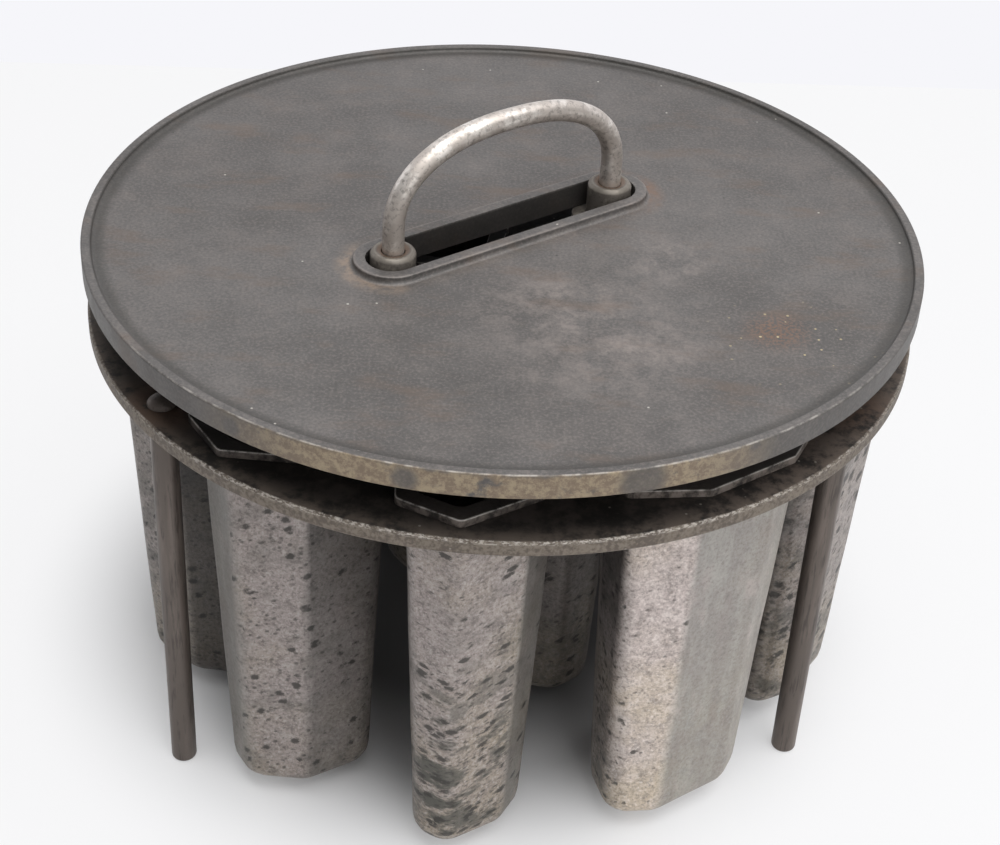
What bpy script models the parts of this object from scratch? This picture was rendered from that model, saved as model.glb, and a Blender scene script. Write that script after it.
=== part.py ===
# Twelve-cup ice cream mould: a round base plate on four rod legs carries ten outer and two
# inner tapered cups, and a cast lid drops over a bail handle that is bolted to the plate.
# Lengths are written in millimetres and turned into metres where the geometry is made.
# The object stands on z = 0, with its axis at x = y = 0 and its front towards -Y.
# Angles are degrees round the axis, measured from the front towards +X.
import bpy
import bmesh
import math
from mathutils import Matrix, Vector

MM = 0.001
GAP = 0.3                      # air kept between pieces that touch
CUT_PAST = 5.0                 # how far a cutter runs past what it cuts

# Base plate
PLATE_RADIUS = 151.8
PLATE_THICKNESS = 5.7
PLATE_EDGE_ROUND = 0.9

# Lid
LID_RADIUS = 152.4
LID_STANDOFF = 17.6            # open space between the plate and the lid's lower rim
LID_SIDE_HEIGHT = 9.2
LID_WEB_THICKNESS = 4.5
LID_RIM_WIDTH = 6.5            # wall left round the hollow underside
LID_BEAD_WIDTH = 3.6           # raised bead round the top edge
LID_BEAD_HEIGHT = 1.9
LID_BEAD_FILLET = 2.2
LID_EDGE_ROUND = 0.7
LID_HOLLOW_SET_IN = 1.0        # how far the hollow underside's wall slants in

# Slot in the lid, with its raised collar
COLLAR_WALL = 4.5
COLLAR_HEIGHT = 2.8            # collar top above the lid's flat top
COLLAR_FOOT = 1.6              # fillet where the collar meets the lid
COLLAR_EDGE_ROUND = 0.6
FILLET_LIFT = 0.1              # start of the collar's fillet above the lid's flat top
SLOT_SIDE_CLEARANCE = 1.0
SLOT_END_CLEARANCE = 1.7

# Bail handle
HANDLE_ANGLE = 126.0           # direction of the handle across the plate
HANDLE_SPAN = 97.0             # between the two ends' axes
HANDLE_ROD_DIAMETER = 7.9
HANDLE_CROWN = 44.4            # rod axis above the lid's flat top
HANDLE_SHOULDER = 13.4         # height above the lid's flat top where the bend starts
HANDLE_SQUARENESS = 2.3        # 2 is an ellipse, more is squarer
HANDLE_BEND_POINTS = 22

# Posts that the handle's ends pass through
POST_NECK_DIAMETER = 16.5
POST_FOOT_DIAMETER = 27.0
POST_CHAMFER = 1.3
POST_FOOT_CHAMFER = 0.8
POST_ABOVE_COLLAR = 3.0
NUT_ACROSS_FLATS = 12.7
NUT_HEIGHT = 6.5
WASHER_DIAMETER = 19.0
WASHER_THICKNESS = 1.6
ROD_BELOW_NUT = 2.5

# Legs, in gaps between the outer cups
NARROW_GAP_LEG_INSET = 14.3    # from the plate's edge in to a leg's axis
WIDE_GAP_LEG_INSET = 9.3
NARROW_GAP_LEG_ANGLE = 60.6    # the first leg of each kind, the second one stands opposite
WIDE_GAP_LEG_ANGLE = 127.0
LEG_DIAMETER = 9.5
LEG_SPIGOT_DIAMETER = 6.4
LEG_END_ROUND = 0.8
LEG_HEAD_DIAMETER = 10.2       # the peened end on top of the plate
LEG_HEAD_HEIGHT = 3.4
LEG_HEAD_EDGE = 0.6            # upright side of the head below its dome

# Cups
CUP_DEPTH = 160.5              # from the plate's top face to the outside of a cup's bottom
GROUND_CLEARANCE = 4.8         # from a cup's bottom to the table
CUP_WALL = 3.0
CUP_FLANGE_HEIGHT = 3.2
CUP_FLANGE_OVERHANG = 3.4      # flange beyond the cup's outer wall
CUP_FOOT_SET_IN = 5.7          # how far each side draws in from the plate to the bottom
CUP_BOTTOM_ROUND = 11.0
CUP_CORNER_ROUND = 4.5
CUP_FOOT_CORNER_ROUND = 8.5
FLANGE_EDGE_ROUND = 0.5
HOLE_CLEARANCE = 0.6

# The outer cups stand in a ring of equal cells
OUTER_CUPS = 10
CUP_MARGIN = 5.8               # from the plate's edge in to the outer cups
CUP_INNER_RADIUS = 78.0        # from the plate's axis out to the outer cups
CUP_SPACING = 3.0
LEANING_TURN = 5.5             # how far a leaning cup is turned past the middle of its cell

# The cups' outlines are uneven octagons. A corner is given by its place in the cup's
# cell: sideways, where -1 and 1 are the cell's two sides, and outwards, where 0 and 1
# are its inner and outer ends. Some corners reach a little past the cell.
POINTED_OUTLINE = (
    (-0.77, 0.84), (-0.24, 1.0), (0.37, 0.76), (0.7, 0.5),
    (0.63, 0.15), (-0.25, 0.01), (-0.94, 0.18), (-0.95, 0.5),
)
BROAD_OUTLINE = (
    (-1.04, 0.72), (-0.37, 0.93), (0.43, 0.94), (1.06, 0.75),
    (0.95, 0.38), (0.53, 0.04), (-0.66, 0.03), (-1.04, 0.35),
)
LEANING_OUTLINE = (
    (-1.13, 0.61), (-0.6, 0.89), (0.08, 1.06), (0.68, 0.91),
    (0.72, 0.4), (0.46, 0.04), (-0.61, 0.03), (-1.0, 0.3),
)
EIGHT_SIDED_OUTLINE = (
    (-0.65, 0.88), (-0.15, 1.0), (0.44, 0.77), (1.02, 0.31),
    (0.6, 0.03), (-0.5, 0.0), (-0.93, 0.21), (-0.93, 0.6),
)

# Five cups in a row from the front, each outline with its turn, and the same five again
OUTER_CUP_KINDS = (
    (POINTED_OUTLINE, 0.0),
    (BROAD_OUTLINE, 0.0),
    (LEANING_OUTLINE, LEANING_TURN),
    (EIGHT_SIDED_OUTLINE, 0.0),
    (EIGHT_SIDED_OUTLINE, 0.0),
)
CORNER_SHARE = 0.42            # most of a side that the arc of one corner may take

# The two cups in the middle are regular octagons, one on each side of the handle
INNER_SIDES = 8
INNER_ACROSS_FLATS = 52.0
INNER_TO_OUTER = 10.0          # between the flanges of the inner and outer cups

# Segments of round work
PLATE_SEGMENTS = 80
POST_SEGMENTS = 24
ROD_SEGMENTS = 16
HANDLE_BEVEL_STEPS = 4         # gives the handle's rod twelve sides
NUT_SIDES = 6
ARC_STEPS = 2
FILLET_STEPS = 3
SLOT_STEPS = 8

# Heights and lengths that follow from the sizes above
PLATE_TOP = GROUND_CLEARANCE + CUP_DEPTH
PLATE_UNDERSIDE = PLATE_TOP - PLATE_THICKNESS
LID_UNDERSIDE = PLATE_TOP + LID_STANDOFF
LID_BEAD_TOP = LID_UNDERSIDE + LID_SIDE_HEIGHT
LID_FLAT_TOP = LID_BEAD_TOP - LID_BEAD_HEIGHT
LID_WEB_UNDER = LID_FLAT_TOP - LID_WEB_THICKNESS
COLLAR_TOP = LID_FLAT_TOP + COLLAR_HEIGHT
POST_TOP = COLLAR_TOP + POST_ABOVE_COLLAR
SLOT_HALF_WIDTH = POST_NECK_DIAMETER / 2 + SLOT_SIDE_CLEARANCE
SLOT_HALF_LENGTH = HANDLE_SPAN / 2 + POST_NECK_DIAMETER / 2 + SLOT_END_CLEARANCE
CUP_OUTER_RADIUS = PLATE_RADIUS - CUP_MARGIN
INNER_CIRCLE_RADIUS = CUP_INNER_RADIUS - INNER_TO_OUTER - INNER_ACROSS_FLATS / 2
ROD_BORE_RADIUS = HANDLE_ROD_DIAMETER / 2 + GAP


def clear_scene():
    for old in list(bpy.data.objects):
        bpy.data.objects.remove(old, do_unlink=True)


def new_collection(name):
    collection = bpy.data.collections.new(name)
    bpy.context.scene.collection.children.link(collection)
    return collection


def metal(name, colour, roughness, metallic):
    material = bpy.data.materials.new(name)
    material.use_nodes = True
    shader = material.node_tree.nodes["Principled BSDF"]
    shader.inputs["Base Color"].default_value = (*colour, 1.0)
    shader.inputs["Roughness"].default_value = roughness
    shader.inputs["Metallic"].default_value = metallic
    return material


def mesh_object(name, bm, collection, material=None):
    bmesh.ops.recalc_face_normals(bm, faces=bm.faces[:])
    if bm.calc_volume(signed=True) < 0:
        bmesh.ops.reverse_faces(bm, faces=bm.faces[:])
    mesh = bpy.data.meshes.new(name)
    bm.to_mesh(mesh)
    bm.free()
    obj = bpy.data.objects.new(name, mesh)
    collection.objects.link(obj)
    if material:
        mesh.materials.append(material)
    return obj


def shade_round(obj, angle=35.0):
    obj.data.shade_smooth()
    obj.data.set_sharp_from_angle(angle=math.radians(angle))


def point_at(radius, angle, height=0.0):
    a = math.radians(angle)
    return Vector((radius * math.sin(a), -radius * math.cos(a), height)) * MM


def outer_outline(shares):
    # The corners of a flange at the front of the plate, in millimetres
    corners = []
    for sideways, outwards in shares:
        radius = CUP_INNER_RADIUS + outwards * (CUP_OUTER_RADIUS - CUP_INNER_RADIUS)
        half_cell = radius * math.tan(math.pi / OUTER_CUPS) - CUP_SPACING / 2
        corners.append(Vector((sideways * half_cell, -radius)))
    return corners


def inner_outline():
    reach = INNER_ACROSS_FLATS / 2 / math.cos(math.pi / INNER_SIDES)
    corners = []
    for number in range(INNER_SIDES):
        a = math.pi * (2 * number + 1) / INNER_SIDES
        corners.append(Vector((reach * math.cos(a), reach * math.sin(a) - INNER_CIRCLE_RADIUS)))
    return corners


def cup_layout():
    # Every cup's name, its outline at the front of the plate and the angle it is turned to
    layout = []
    for number in range(OUTER_CUPS):
        shares, turn = OUTER_CUP_KINDS[number % len(OUTER_CUP_KINDS)]
        angle = 360 * number / OUTER_CUPS + turn
        layout.append((f"outer_cup_{number + 1:02d}", outer_outline(shares), angle))
    for number, side in enumerate((-90, 90), 1):
        layout.append((f"inner_cup_{number:02d}", inner_outline(), HANDLE_ANGLE + side))
    return layout


def inset_corners(corners, inset):
    # Moves every side of an outline inwards by the same distance
    centre = sum(corners, Vector((0.0, 0.0))) / len(corners)
    lines = []
    for here, after in zip(corners, corners[1:] + corners[:1]):
        along = (after - here).normalized()
        inwards = Vector((-along.y, along.x))
        if inwards.dot(centre - here) < 0:
            inwards = -inwards
        lines.append((inwards, inwards.dot(here) + inset))
    moved = []
    for (n1, d1), (n2, d2) in zip(lines[-1:] + lines[:-1], lines):
        cross = n1.x * n2.y - n1.y * n2.x
        moved.append(Vector(((d1 * n2.y - d2 * n1.y) / cross, (n1.x * d2 - n2.x * d1) / cross)))
    return moved


def rounded_outline(corners, inset, corner_round):
    # An outline moved inwards, with an arc in place of each corner
    moved = inset_corners(corners, inset)
    ring = []
    for before, corner, after in zip(moved[-1:] + moved[:-1], moved, moved[1:] + moved[:1]):
        back = (before - corner).normalized()
        ahead = (after - corner).normalized()
        slant = math.tan(back.angle(ahead) / 2)
        shorter_side = min((before - corner).length, (after - corner).length)
        reach = min(corner_round / slant, CORNER_SHARE * shorter_side)
        centre = corner + (back + ahead).normalized() * math.hypot(reach, reach * slant)
        start = corner + back * reach - centre
        end = corner + ahead * reach - centre
        for step in range(ARC_STEPS + 1):
            ring.append(centre + start.slerp(end, step / ARC_STEPS) * start.length)
    return ring


def slot_outline(outset):
    # The slot's outline with round ends, moved outwards, its long way along the handle
    radius = SLOT_HALF_WIDTH + outset
    reach = SLOT_HALF_LENGTH - SLOT_HALF_WIDTH
    turn = Matrix.Rotation(math.radians(HANDLE_ANGLE - 90), 2)
    ring = []
    for side in (1, -1):
        for step in range(SLOT_STEPS + 1):
            a = math.pi * step / SLOT_STEPS - math.pi / 2
            point = Vector((side * (reach + radius * math.cos(a)), side * radius * math.sin(a)))
            ring.append(turn @ point)
    return ring


def lofted_solid(rings):
    # A closed solid through a stack of rings of equal count, each a list of points and
    # its height: one quad for each side of each step, and a cap at both ends
    bm = bmesh.new()
    loops = []
    for points, height in rings:
        loops.append([bm.verts.new((p.x * MM, p.y * MM, height * MM)) for p in points])
    for lower, upper in zip(loops, loops[1:]):
        for side in range(len(lower)):
            bm.faces.new((lower[side - 1], lower[side], upper[side], upper[side - 1]))
    bm.faces.new(reversed(loops[0]))
    bm.faces.new(loops[-1])
    return bm


def turned_solid(name, profile, segments, collection, material=None):
    # A body of revolution: the profile runs from the axis at the top down the outer
    # side and back to the axis, or round a closed section when it has a bore
    bored = min(r for r, z in profile) > 0
    bm = bmesh.new()
    verts = [bm.verts.new((r * MM, 0.0, z * MM)) for r, z in profile]
    pairs = list(zip(verts, verts[1:]))
    if bored:
        pairs.append((verts[-1], verts[0]))
    for a, b in pairs:
        bm.edges.new((a, b))
    mesh = bpy.data.meshes.new(name)
    bm.to_mesh(mesh)
    bm.free()
    obj = bpy.data.objects.new(name, mesh)
    collection.objects.link(obj)
    if material:
        mesh.materials.append(material)
    screw = obj.modifiers.new("turn", "SCREW")
    screw.axis = "Z"
    screw.steps = segments
    screw.render_steps = segments
    screw.use_merge_vertices = True
    screw.merge_threshold = 0.00001
    return obj


def arc(centre_r, centre_z, radius, start, end):
    # Points of a profile's arc, from start to end degrees, measured from outwards to up
    points = []
    for step in range(ARC_STEPS + 1):
        a = math.radians(start + (end - start) * step / ARC_STEPS)
        points.append((centre_r + radius * math.cos(a), centre_z + radius * math.sin(a)))
    return points


def as_mesh(obj):
    # The same object with its modifiers worked out, so that others can cut it
    graph = bpy.context.evaluated_depsgraph_get()
    mesh = bpy.data.meshes.new_from_object(obj.evaluated_get(graph))
    obj.modifiers.clear()
    obj.data = mesh
    return obj


def boolean(obj, other, operation):
    modifier = obj.modifiers.new(operation.lower(), "BOOLEAN")
    modifier.operation = operation
    modifier.solver = "EXACT"
    modifier.object = other
    other.hide_render = True
    other.display_type = "WIRE"


def drill(name, radius, low, high, place, cutters):
    bm = bmesh.new()
    bmesh.ops.create_cone(bm, cap_ends=True, segments=ROD_SEGMENTS, radius1=radius * MM,
                          radius2=radius * MM, depth=(high - low) * MM)
    cutter = mesh_object(name, bm, cutters)
    cutter.location = place + Vector((0.0, 0.0, (low + high) / 2 * MM))
    return cutter


def cup_rings(outline):
    # From the outside of the bottom up the outer wall, over the flange and down inside
    low = PLATE_TOP - CUP_DEPTH
    flange_low = PLATE_TOP + GAP
    flange_top = PLATE_TOP + CUP_FLANGE_HEIGHT
    outside = CUP_FLANGE_OVERHANG
    inside = CUP_FLANGE_OVERHANG + CUP_WALL
    slope = CUP_FOOT_SET_IN / CUP_DEPTH

    def ring(inset, height, corner_round=CUP_CORNER_ROUND):
        return rounded_outline(outline, inset, corner_round), height

    def bottom(wall_inset, base, bend):
        # The rounded foot of a wall, from flat to upright
        drawn = wall_inset + slope * (PLATE_TOP - base - bend)
        foot = []
        for step in range(ARC_STEPS + 1):
            a = math.radians(90 * (1 - step / ARC_STEPS))
            inset = drawn + bend * (1 - math.cos(a))
            foot.append(ring(inset, base + bend * (1 - math.sin(a)), CUP_FOOT_CORNER_ROUND))
        return foot

    rings = bottom(outside, low, CUP_BOTTOM_ROUND)
    rings.append(ring(outside, flange_low))
    rings.append(ring(0.0, flange_low))
    rings.append(ring(0.0, flange_top - FLANGE_EDGE_ROUND))
    rings.append(ring(FLANGE_EDGE_ROUND, flange_top))
    rings.append(ring(inside - FLANGE_EDGE_ROUND, flange_top))
    rings.append(ring(inside, flange_top - FLANGE_EDGE_ROUND))
    rings += reversed(bottom(inside, low + CUP_WALL, CUP_BOTTOM_ROUND - CUP_WALL))
    return rings


def make_cups(parts, finish):
    for name, outline, angle in cup_layout():
        cup = mesh_object(name, lofted_solid(cup_rings(outline)), parts, finish)
        cup.rotation_euler.z = math.radians(angle)
        shade_round(cup)


def make_base_plate(parts, cutters, finish):
    edge = PLATE_EDGE_ROUND
    profile = [(0.0, PLATE_TOP)]
    profile += arc(PLATE_RADIUS - edge, PLATE_TOP - edge, edge, 90, 0)
    profile += arc(PLATE_RADIUS - edge, PLATE_UNDERSIDE + edge, edge, 0, -90)
    profile += [(0.0, PLATE_UNDERSIDE)]
    plate = as_mesh(turned_solid("base_plate", profile, PLATE_SEGMENTS, parts, finish))
    below = PLATE_UNDERSIDE - CUT_PAST
    above = PLATE_TOP + CUT_PAST
    for name, outline, angle in cup_layout():
        ring = rounded_outline(outline, CUP_FLANGE_OVERHANG - HOLE_CLEARANCE, CUP_CORNER_ROUND)
        cutter = mesh_object("hole_for_" + name, lofted_solid([(ring, below), (ring, above)]), cutters)
        cutter.rotation_euler.z = math.radians(angle)
        boolean(plate, cutter, "DIFFERENCE")
    for number, place in enumerate(leg_places(), 1):
        radius = LEG_SPIGOT_DIAMETER / 2 + GAP
        boolean(plate, drill(f"hole_for_leg_{number}", radius, below, above, place, cutters), "DIFFERENCE")
    for side, place in handle_places():
        boolean(plate, drill(f"hole_for_{side}_rod", ROD_BORE_RADIUS, below, above, place, cutters), "DIFFERENCE")
    return plate


def leg_places():
    # One leg in a narrow gap and one in a wide gap, and the same two again opposite them
    places = []
    for opposite in (0, 180):
        places.append(point_at(PLATE_RADIUS - NARROW_GAP_LEG_INSET, NARROW_GAP_LEG_ANGLE + opposite))
        places.append(point_at(PLATE_RADIUS - WIDE_GAP_LEG_INSET, WIDE_GAP_LEG_ANGLE + opposite))
    return places


def handle_places():
    # Where the handle's two ends go through the plate
    half = HANDLE_SPAN / 2
    return (("rear", point_at(half, HANDLE_ANGLE)), ("front", point_at(-half, HANDLE_ANGLE)))


def make_lid(parts, cutters, finish):
    edge = LID_EDGE_ROUND
    bead_inside = LID_RADIUS - LID_BEAD_WIDTH
    hollow = LID_RADIUS - LID_RIM_WIDTH
    profile = [(0.0, LID_FLAT_TOP)]
    for step in range(FILLET_STEPS + 1):
        a = math.radians(90 * step / FILLET_STEPS)
        out = bead_inside - LID_BEAD_FILLET * (1 - math.sin(a))
        profile.append((out, LID_FLAT_TOP + (LID_BEAD_HEIGHT - edge) * (1 - math.cos(a))))
    profile.append((bead_inside + edge, LID_BEAD_TOP))
    profile += arc(LID_RADIUS - edge, LID_BEAD_TOP - edge, edge, 90, 0)
    profile += arc(LID_RADIUS - edge, LID_UNDERSIDE + edge, edge, 0, -90)
    profile += [(hollow, LID_UNDERSIDE), (hollow - LID_HOLLOW_SET_IN, LID_WEB_UNDER), (0.0, LID_WEB_UNDER)]
    lid = as_mesh(turned_solid("lid", profile, PLATE_SEGMENTS, parts, finish))

    # The collar's outer side, from its seat on the posts up to its rounded top edge
    wall = COLLAR_WALL
    sections = [(wall, LID_UNDERSIDE), (wall, LID_WEB_UNDER + edge), (wall + COLLAR_FOOT, LID_FLAT_TOP - edge)]
    for step in range(FILLET_STEPS + 1):
        a = math.radians(90 * step / FILLET_STEPS)
        out = wall + COLLAR_FOOT * (1 - math.sin(a))
        sections.append((out, LID_FLAT_TOP + FILLET_LIFT + COLLAR_FOOT * (1 - math.cos(a))))
    sections += [(wall, COLLAR_TOP - COLLAR_EDGE_ROUND), (wall - COLLAR_EDGE_ROUND, COLLAR_TOP)]
    rings = [(slot_outline(out), height) for out, height in sections]
    boolean(lid, mesh_object("slot_collar", lofted_solid(rings), cutters), "UNION")

    through = [(slot_outline(0.0), LID_UNDERSIDE - CUT_PAST), (slot_outline(0.0), COLLAR_TOP + CUT_PAST)]
    boolean(lid, mesh_object("slot", lofted_solid(through), cutters), "DIFFERENCE")
    return lid


def handle_route():
    # One end below its nut, up through the plate and the post, over the crown and down
    end = PLATE_UNDERSIDE - 2 * GAP - WASHER_THICKNESS - NUT_HEIGHT - ROD_BELOW_NUT
    shoulder = LID_FLAT_TOP + HANDLE_SHOULDER
    rise = HANDLE_CROWN - HANDLE_SHOULDER
    half = HANDLE_SPAN / 2
    power = 2 / HANDLE_SQUARENESS
    route = [(-half, end)]
    for step in range(HANDLE_BEND_POINTS + 1):
        a = math.pi * (1 - step / HANDLE_BEND_POINTS)
        along = math.copysign(abs(math.cos(a)) ** power, math.cos(a))
        route.append((half * along, shoulder + rise * abs(math.sin(a)) ** power))
    route.append((half, end))
    return route


def make_bail_handle(parts, finish):
    curve = bpy.data.curves.new("bail_handle", "CURVE")
    curve.dimensions = "3D"
    curve.bevel_depth = HANDLE_ROD_DIAMETER / 2 * MM
    curve.bevel_resolution = HANDLE_BEVEL_STEPS
    curve.use_fill_caps = True
    route = handle_route()
    spline = curve.splines.new("POLY")
    spline.points.add(len(route) - 1)
    for point, (along, height) in zip(spline.points, route):
        point.co = (*point_at(along, HANDLE_ANGLE, height), 1.0)
    handle = bpy.data.objects.new("bail_handle", curve)
    curve.materials.append(finish)
    parts.objects.link(handle)


def make_post(name, place, parts, finish):
    # A sleeve: its wide foot holds the lid up, and the lid's slot drops over its neck
    neck = POST_NECK_DIAMETER / 2
    foot = POST_FOOT_DIAMETER / 2
    low = PLATE_TOP + GAP
    seat = LID_UNDERSIDE - GAP
    edge = POST_FOOT_CHAMFER
    profile = [(ROD_BORE_RADIUS, POST_TOP), (neck - POST_CHAMFER, POST_TOP), (neck, POST_TOP - POST_CHAMFER)]
    profile += [(neck, seat), (foot - edge, seat), (foot, seat - edge)]
    profile += [(foot, low + edge), (foot - edge, low), (ROD_BORE_RADIUS, low)]
    post = turned_solid(name, profile, POST_SEGMENTS, parts, finish)
    shade_round(post)
    post.location = place


def make_washer(name, place, parts, finish):
    outer = WASHER_DIAMETER / 2
    high = PLATE_UNDERSIDE - GAP
    low = high - WASHER_THICKNESS
    profile = [(ROD_BORE_RADIUS, high), (outer, high), (outer, low), (ROD_BORE_RADIUS, low)]
    washer = turned_solid(name, profile, POST_SEGMENTS, parts, finish)
    shade_round(washer)
    washer.location = place


def make_nut(name, place, parts, cutters, finish):
    high = PLATE_UNDERSIDE - 2 * GAP - WASHER_THICKNESS
    low = high - NUT_HEIGHT
    across_corners = NUT_ACROSS_FLATS / math.cos(math.pi / NUT_SIDES)
    bm = bmesh.new()
    bmesh.ops.create_cone(bm, cap_ends=True, segments=NUT_SIDES, radius1=across_corners / 2 * MM,
                          radius2=across_corners / 2 * MM, depth=NUT_HEIGHT * MM)
    nut = mesh_object(name, bm, parts, finish)
    nut.location = place + Vector((0.0, 0.0, (low + high) / 2 * MM))
    nut.rotation_euler.z = math.radians(HANDLE_ANGLE)
    bore = drill("bore_of_" + name, ROD_BORE_RADIUS, low - CUT_PAST, high + CUT_PAST, place, cutters)
    boolean(nut, bore, "DIFFERENCE")


def make_leg(name, place, parts, finish):
    # A rod with a shoulder under the plate, a spigot through it and a peened head on top
    rod = LEG_DIAMETER / 2
    spigot = LEG_SPIGOT_DIAMETER / 2
    head = LEG_HEAD_DIAMETER / 2
    seat = PLATE_TOP + GAP
    dome = LEG_HEAD_HEIGHT - LEG_HEAD_EDGE
    profile = []
    for step in range(FILLET_STEPS + 1):
        a = math.radians(90 * step / FILLET_STEPS)
        profile.append((head * math.sin(a), seat + LEG_HEAD_EDGE + dome * math.cos(a)))
    profile += [(head, seat), (spigot, seat), (spigot, PLATE_UNDERSIDE - GAP), (rod, PLATE_UNDERSIDE - GAP)]
    profile += [(rod, LEG_END_ROUND), (rod - LEG_END_ROUND, 0.0), (0.0, 0.0)]
    leg = turned_solid(name, profile, ROD_SEGMENTS, parts, finish)
    shade_round(leg)
    leg.location = place


def main():
    clear_scene()
    parts = new_collection("ice_cream_mould")
    cutters = new_collection("cutters")
    lid_metal = metal("dark_cast_iron", (0.11, 0.11, 0.115), 0.48, 0.75)
    plate_metal = metal("brown_cast_iron", (0.13, 0.115, 0.105), 0.55, 0.7)
    cup_metal = metal("grey_cast_metal", (0.34, 0.31, 0.29), 0.5, 0.7)
    handle_metal = metal("worn_steel_rod", (0.30, 0.28, 0.265), 0.4, 0.8)
    leg_metal = metal("rusted_steel_rod", (0.10, 0.085, 0.075), 0.6, 0.6)
    post_metal = metal("grey_steel_post", (0.21, 0.20, 0.19), 0.45, 0.75)

    shade_round(make_base_plate(parts, cutters, plate_metal))
    make_cups(parts, cup_metal)
    shade_round(make_lid(parts, cutters, lid_metal))
    make_bail_handle(parts, handle_metal)
    for end, place in handle_places():
        make_post(f"{end}_handle_post", place, parts, post_metal)
        make_washer(f"{end}_handle_washer", place, parts, leg_metal)
        make_nut(f"{end}_handle_nut", place, parts, cutters, leg_metal)
    for number, place in enumerate(leg_places(), 1):
        make_leg(f"leg_{number}", place, parts, leg_metal)


main()
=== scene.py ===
import bpy
import bmesh
import math
from mathutils import Matrix, Vector, noise


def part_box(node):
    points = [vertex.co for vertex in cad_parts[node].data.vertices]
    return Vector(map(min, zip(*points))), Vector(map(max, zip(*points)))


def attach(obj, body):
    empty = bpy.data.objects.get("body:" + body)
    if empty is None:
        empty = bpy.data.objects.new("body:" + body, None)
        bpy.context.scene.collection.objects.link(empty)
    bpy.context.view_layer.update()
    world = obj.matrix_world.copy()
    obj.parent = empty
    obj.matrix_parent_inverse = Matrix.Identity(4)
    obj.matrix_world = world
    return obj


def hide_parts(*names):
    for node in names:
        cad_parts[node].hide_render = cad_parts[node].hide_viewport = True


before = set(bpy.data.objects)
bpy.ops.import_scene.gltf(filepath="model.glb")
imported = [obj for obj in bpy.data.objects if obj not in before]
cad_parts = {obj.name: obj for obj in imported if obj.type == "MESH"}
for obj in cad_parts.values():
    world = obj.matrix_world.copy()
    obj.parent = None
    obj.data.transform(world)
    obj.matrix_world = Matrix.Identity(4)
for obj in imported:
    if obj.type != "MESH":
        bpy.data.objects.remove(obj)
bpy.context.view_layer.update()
mm = 0.001
print("frame loaded:", len(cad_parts), "nodes")


def sizeOf(node, corner, axis):
    # One side of a node's box in millimetres: corner 0 is the lowest, 1 the highest
    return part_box(node)[corner][axis] / mm


# Sizes that several pieces share, in millimetres, heights above the table
mould = {
    "plateTop": sizeOf("base_plate", 1, 2),
    "plateUnder": sizeOf("base_plate", 0, 2),
    "plateRadius": sizeOf("base_plate", 1, 0),
    "lidUnder": sizeOf("lid", 0, 2),
    "lidRadius": sizeOf("lid", 1, 0),
    "collarTop": sizeOf("lid", 1, 2),
    "collarRise": 2.8,          # collar's top above the lid's flat top
    "beadRise": 1.9,            # bead's top above the lid's flat top
    "handleAngle": 126.0,       # direction of the handle, from the front towards +X
    "handleSpan": 97.0,
    "rodRadius": 3.95,
    "neckRadius": 8.25,         # the handle's posts where the lid drops over them
    "slotGap": 1.0,             # between the posts and the slot's long sides
    "slotEndGap": 1.7,          # between the posts and the slot's ends
    "cups": 10,                 # in the outer ring
    "air": 0.3,                 # between pieces that touch
    "toolPast": 3.0,            # how far a cutting tool runs past a piece
    "castAngle": 38,            # edges that turn more than this stay sharp, in degrees
}
mould["lidTop"] = mould["collarTop"] - mould["collarRise"]
slotHalfWidth = mould["neckRadius"] + mould["slotGap"]
slotHalfLength = mould["handleSpan"] / 2 + mould["neckRadius"] + mould["slotEndGap"]


def linearColour(hexColour):
    # sRGB hex to the linear numbers that a shader takes
    channels = []
    for start in (0, 2, 4):
        value = int(hexColour[start:start + 2], 16) / 255
        channels.append(value / 12.92 if value <= 0.04045 else ((value + 0.055) / 1.055) ** 2.4)
    return (*channels, 1.0)


def addNode(tree, kind, inputs=None, **settings):
    # Adds a shader node with its settings; an input is a value or another node's socket
    made = tree.nodes.new(kind)
    for key, value in settings.items():
        setattr(made, key, value)
    for key, value in (inputs or {}).items():
        if isinstance(value, bpy.types.NodeSocket):
            tree.links.new(value, made.inputs[key])
        else:
            made.inputs[key].default_value = value
    return made


def aroundAxis(angle, radius, height=0.0):
    # The point at an angle from the front towards +X
    turned = math.radians(angle)
    return Vector((radius * math.sin(turned), -radius * math.cos(turned), height)) * mm


# Making meshes

def shadeByAngle(mesh, sharpAngle):
    mesh.shade_smooth()
    mesh.set_sharp_from_angle(angle=math.radians(sharpAngle))


def finishPiece(name, bm, material, body, nodes, sharpAngle=40):
    # Turns the bmesh into an object and says what it rides on and which nodes it stands for
    mesh = bpy.data.meshes.new(name)
    bm.to_mesh(mesh)
    bm.free()
    mesh.materials.append(material)
    shadeByAngle(mesh, sharpAngle)
    piece = bpy.data.objects.new(name, mesh)
    bpy.context.scene.collection.objects.link(piece)
    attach(piece, body)
    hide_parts(*nodes)
    return piece


def spunSolid(profile, segments, place=(0.0, 0.0, 0.0)):
    # Spins a profile of radius and height round the upright line through a place
    bm = bmesh.new()
    verts = [bm.verts.new((radius * mm, 0.0, height * mm)) for radius, height in profile]
    edges = [bm.edges.new(pair) for pair in zip(verts, verts[1:])]
    if min(radius for radius, height in profile) > 0:
        edges.append(bm.edges.new((verts[-1], verts[0])))
    bmesh.ops.spin(bm, geom=verts + edges, cent=(0, 0, 0), axis=(0, 0, 1), angle=math.tau,
                   steps=segments, use_merge=True, use_duplicate=False)
    bmesh.ops.remove_doubles(bm, verts=bm.verts[:], dist=1e-6)
    bmesh.ops.recalc_face_normals(bm, faces=bm.faces[:])
    bmesh.ops.translate(bm, verts=bm.verts[:], vec=place)
    return bm


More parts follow.
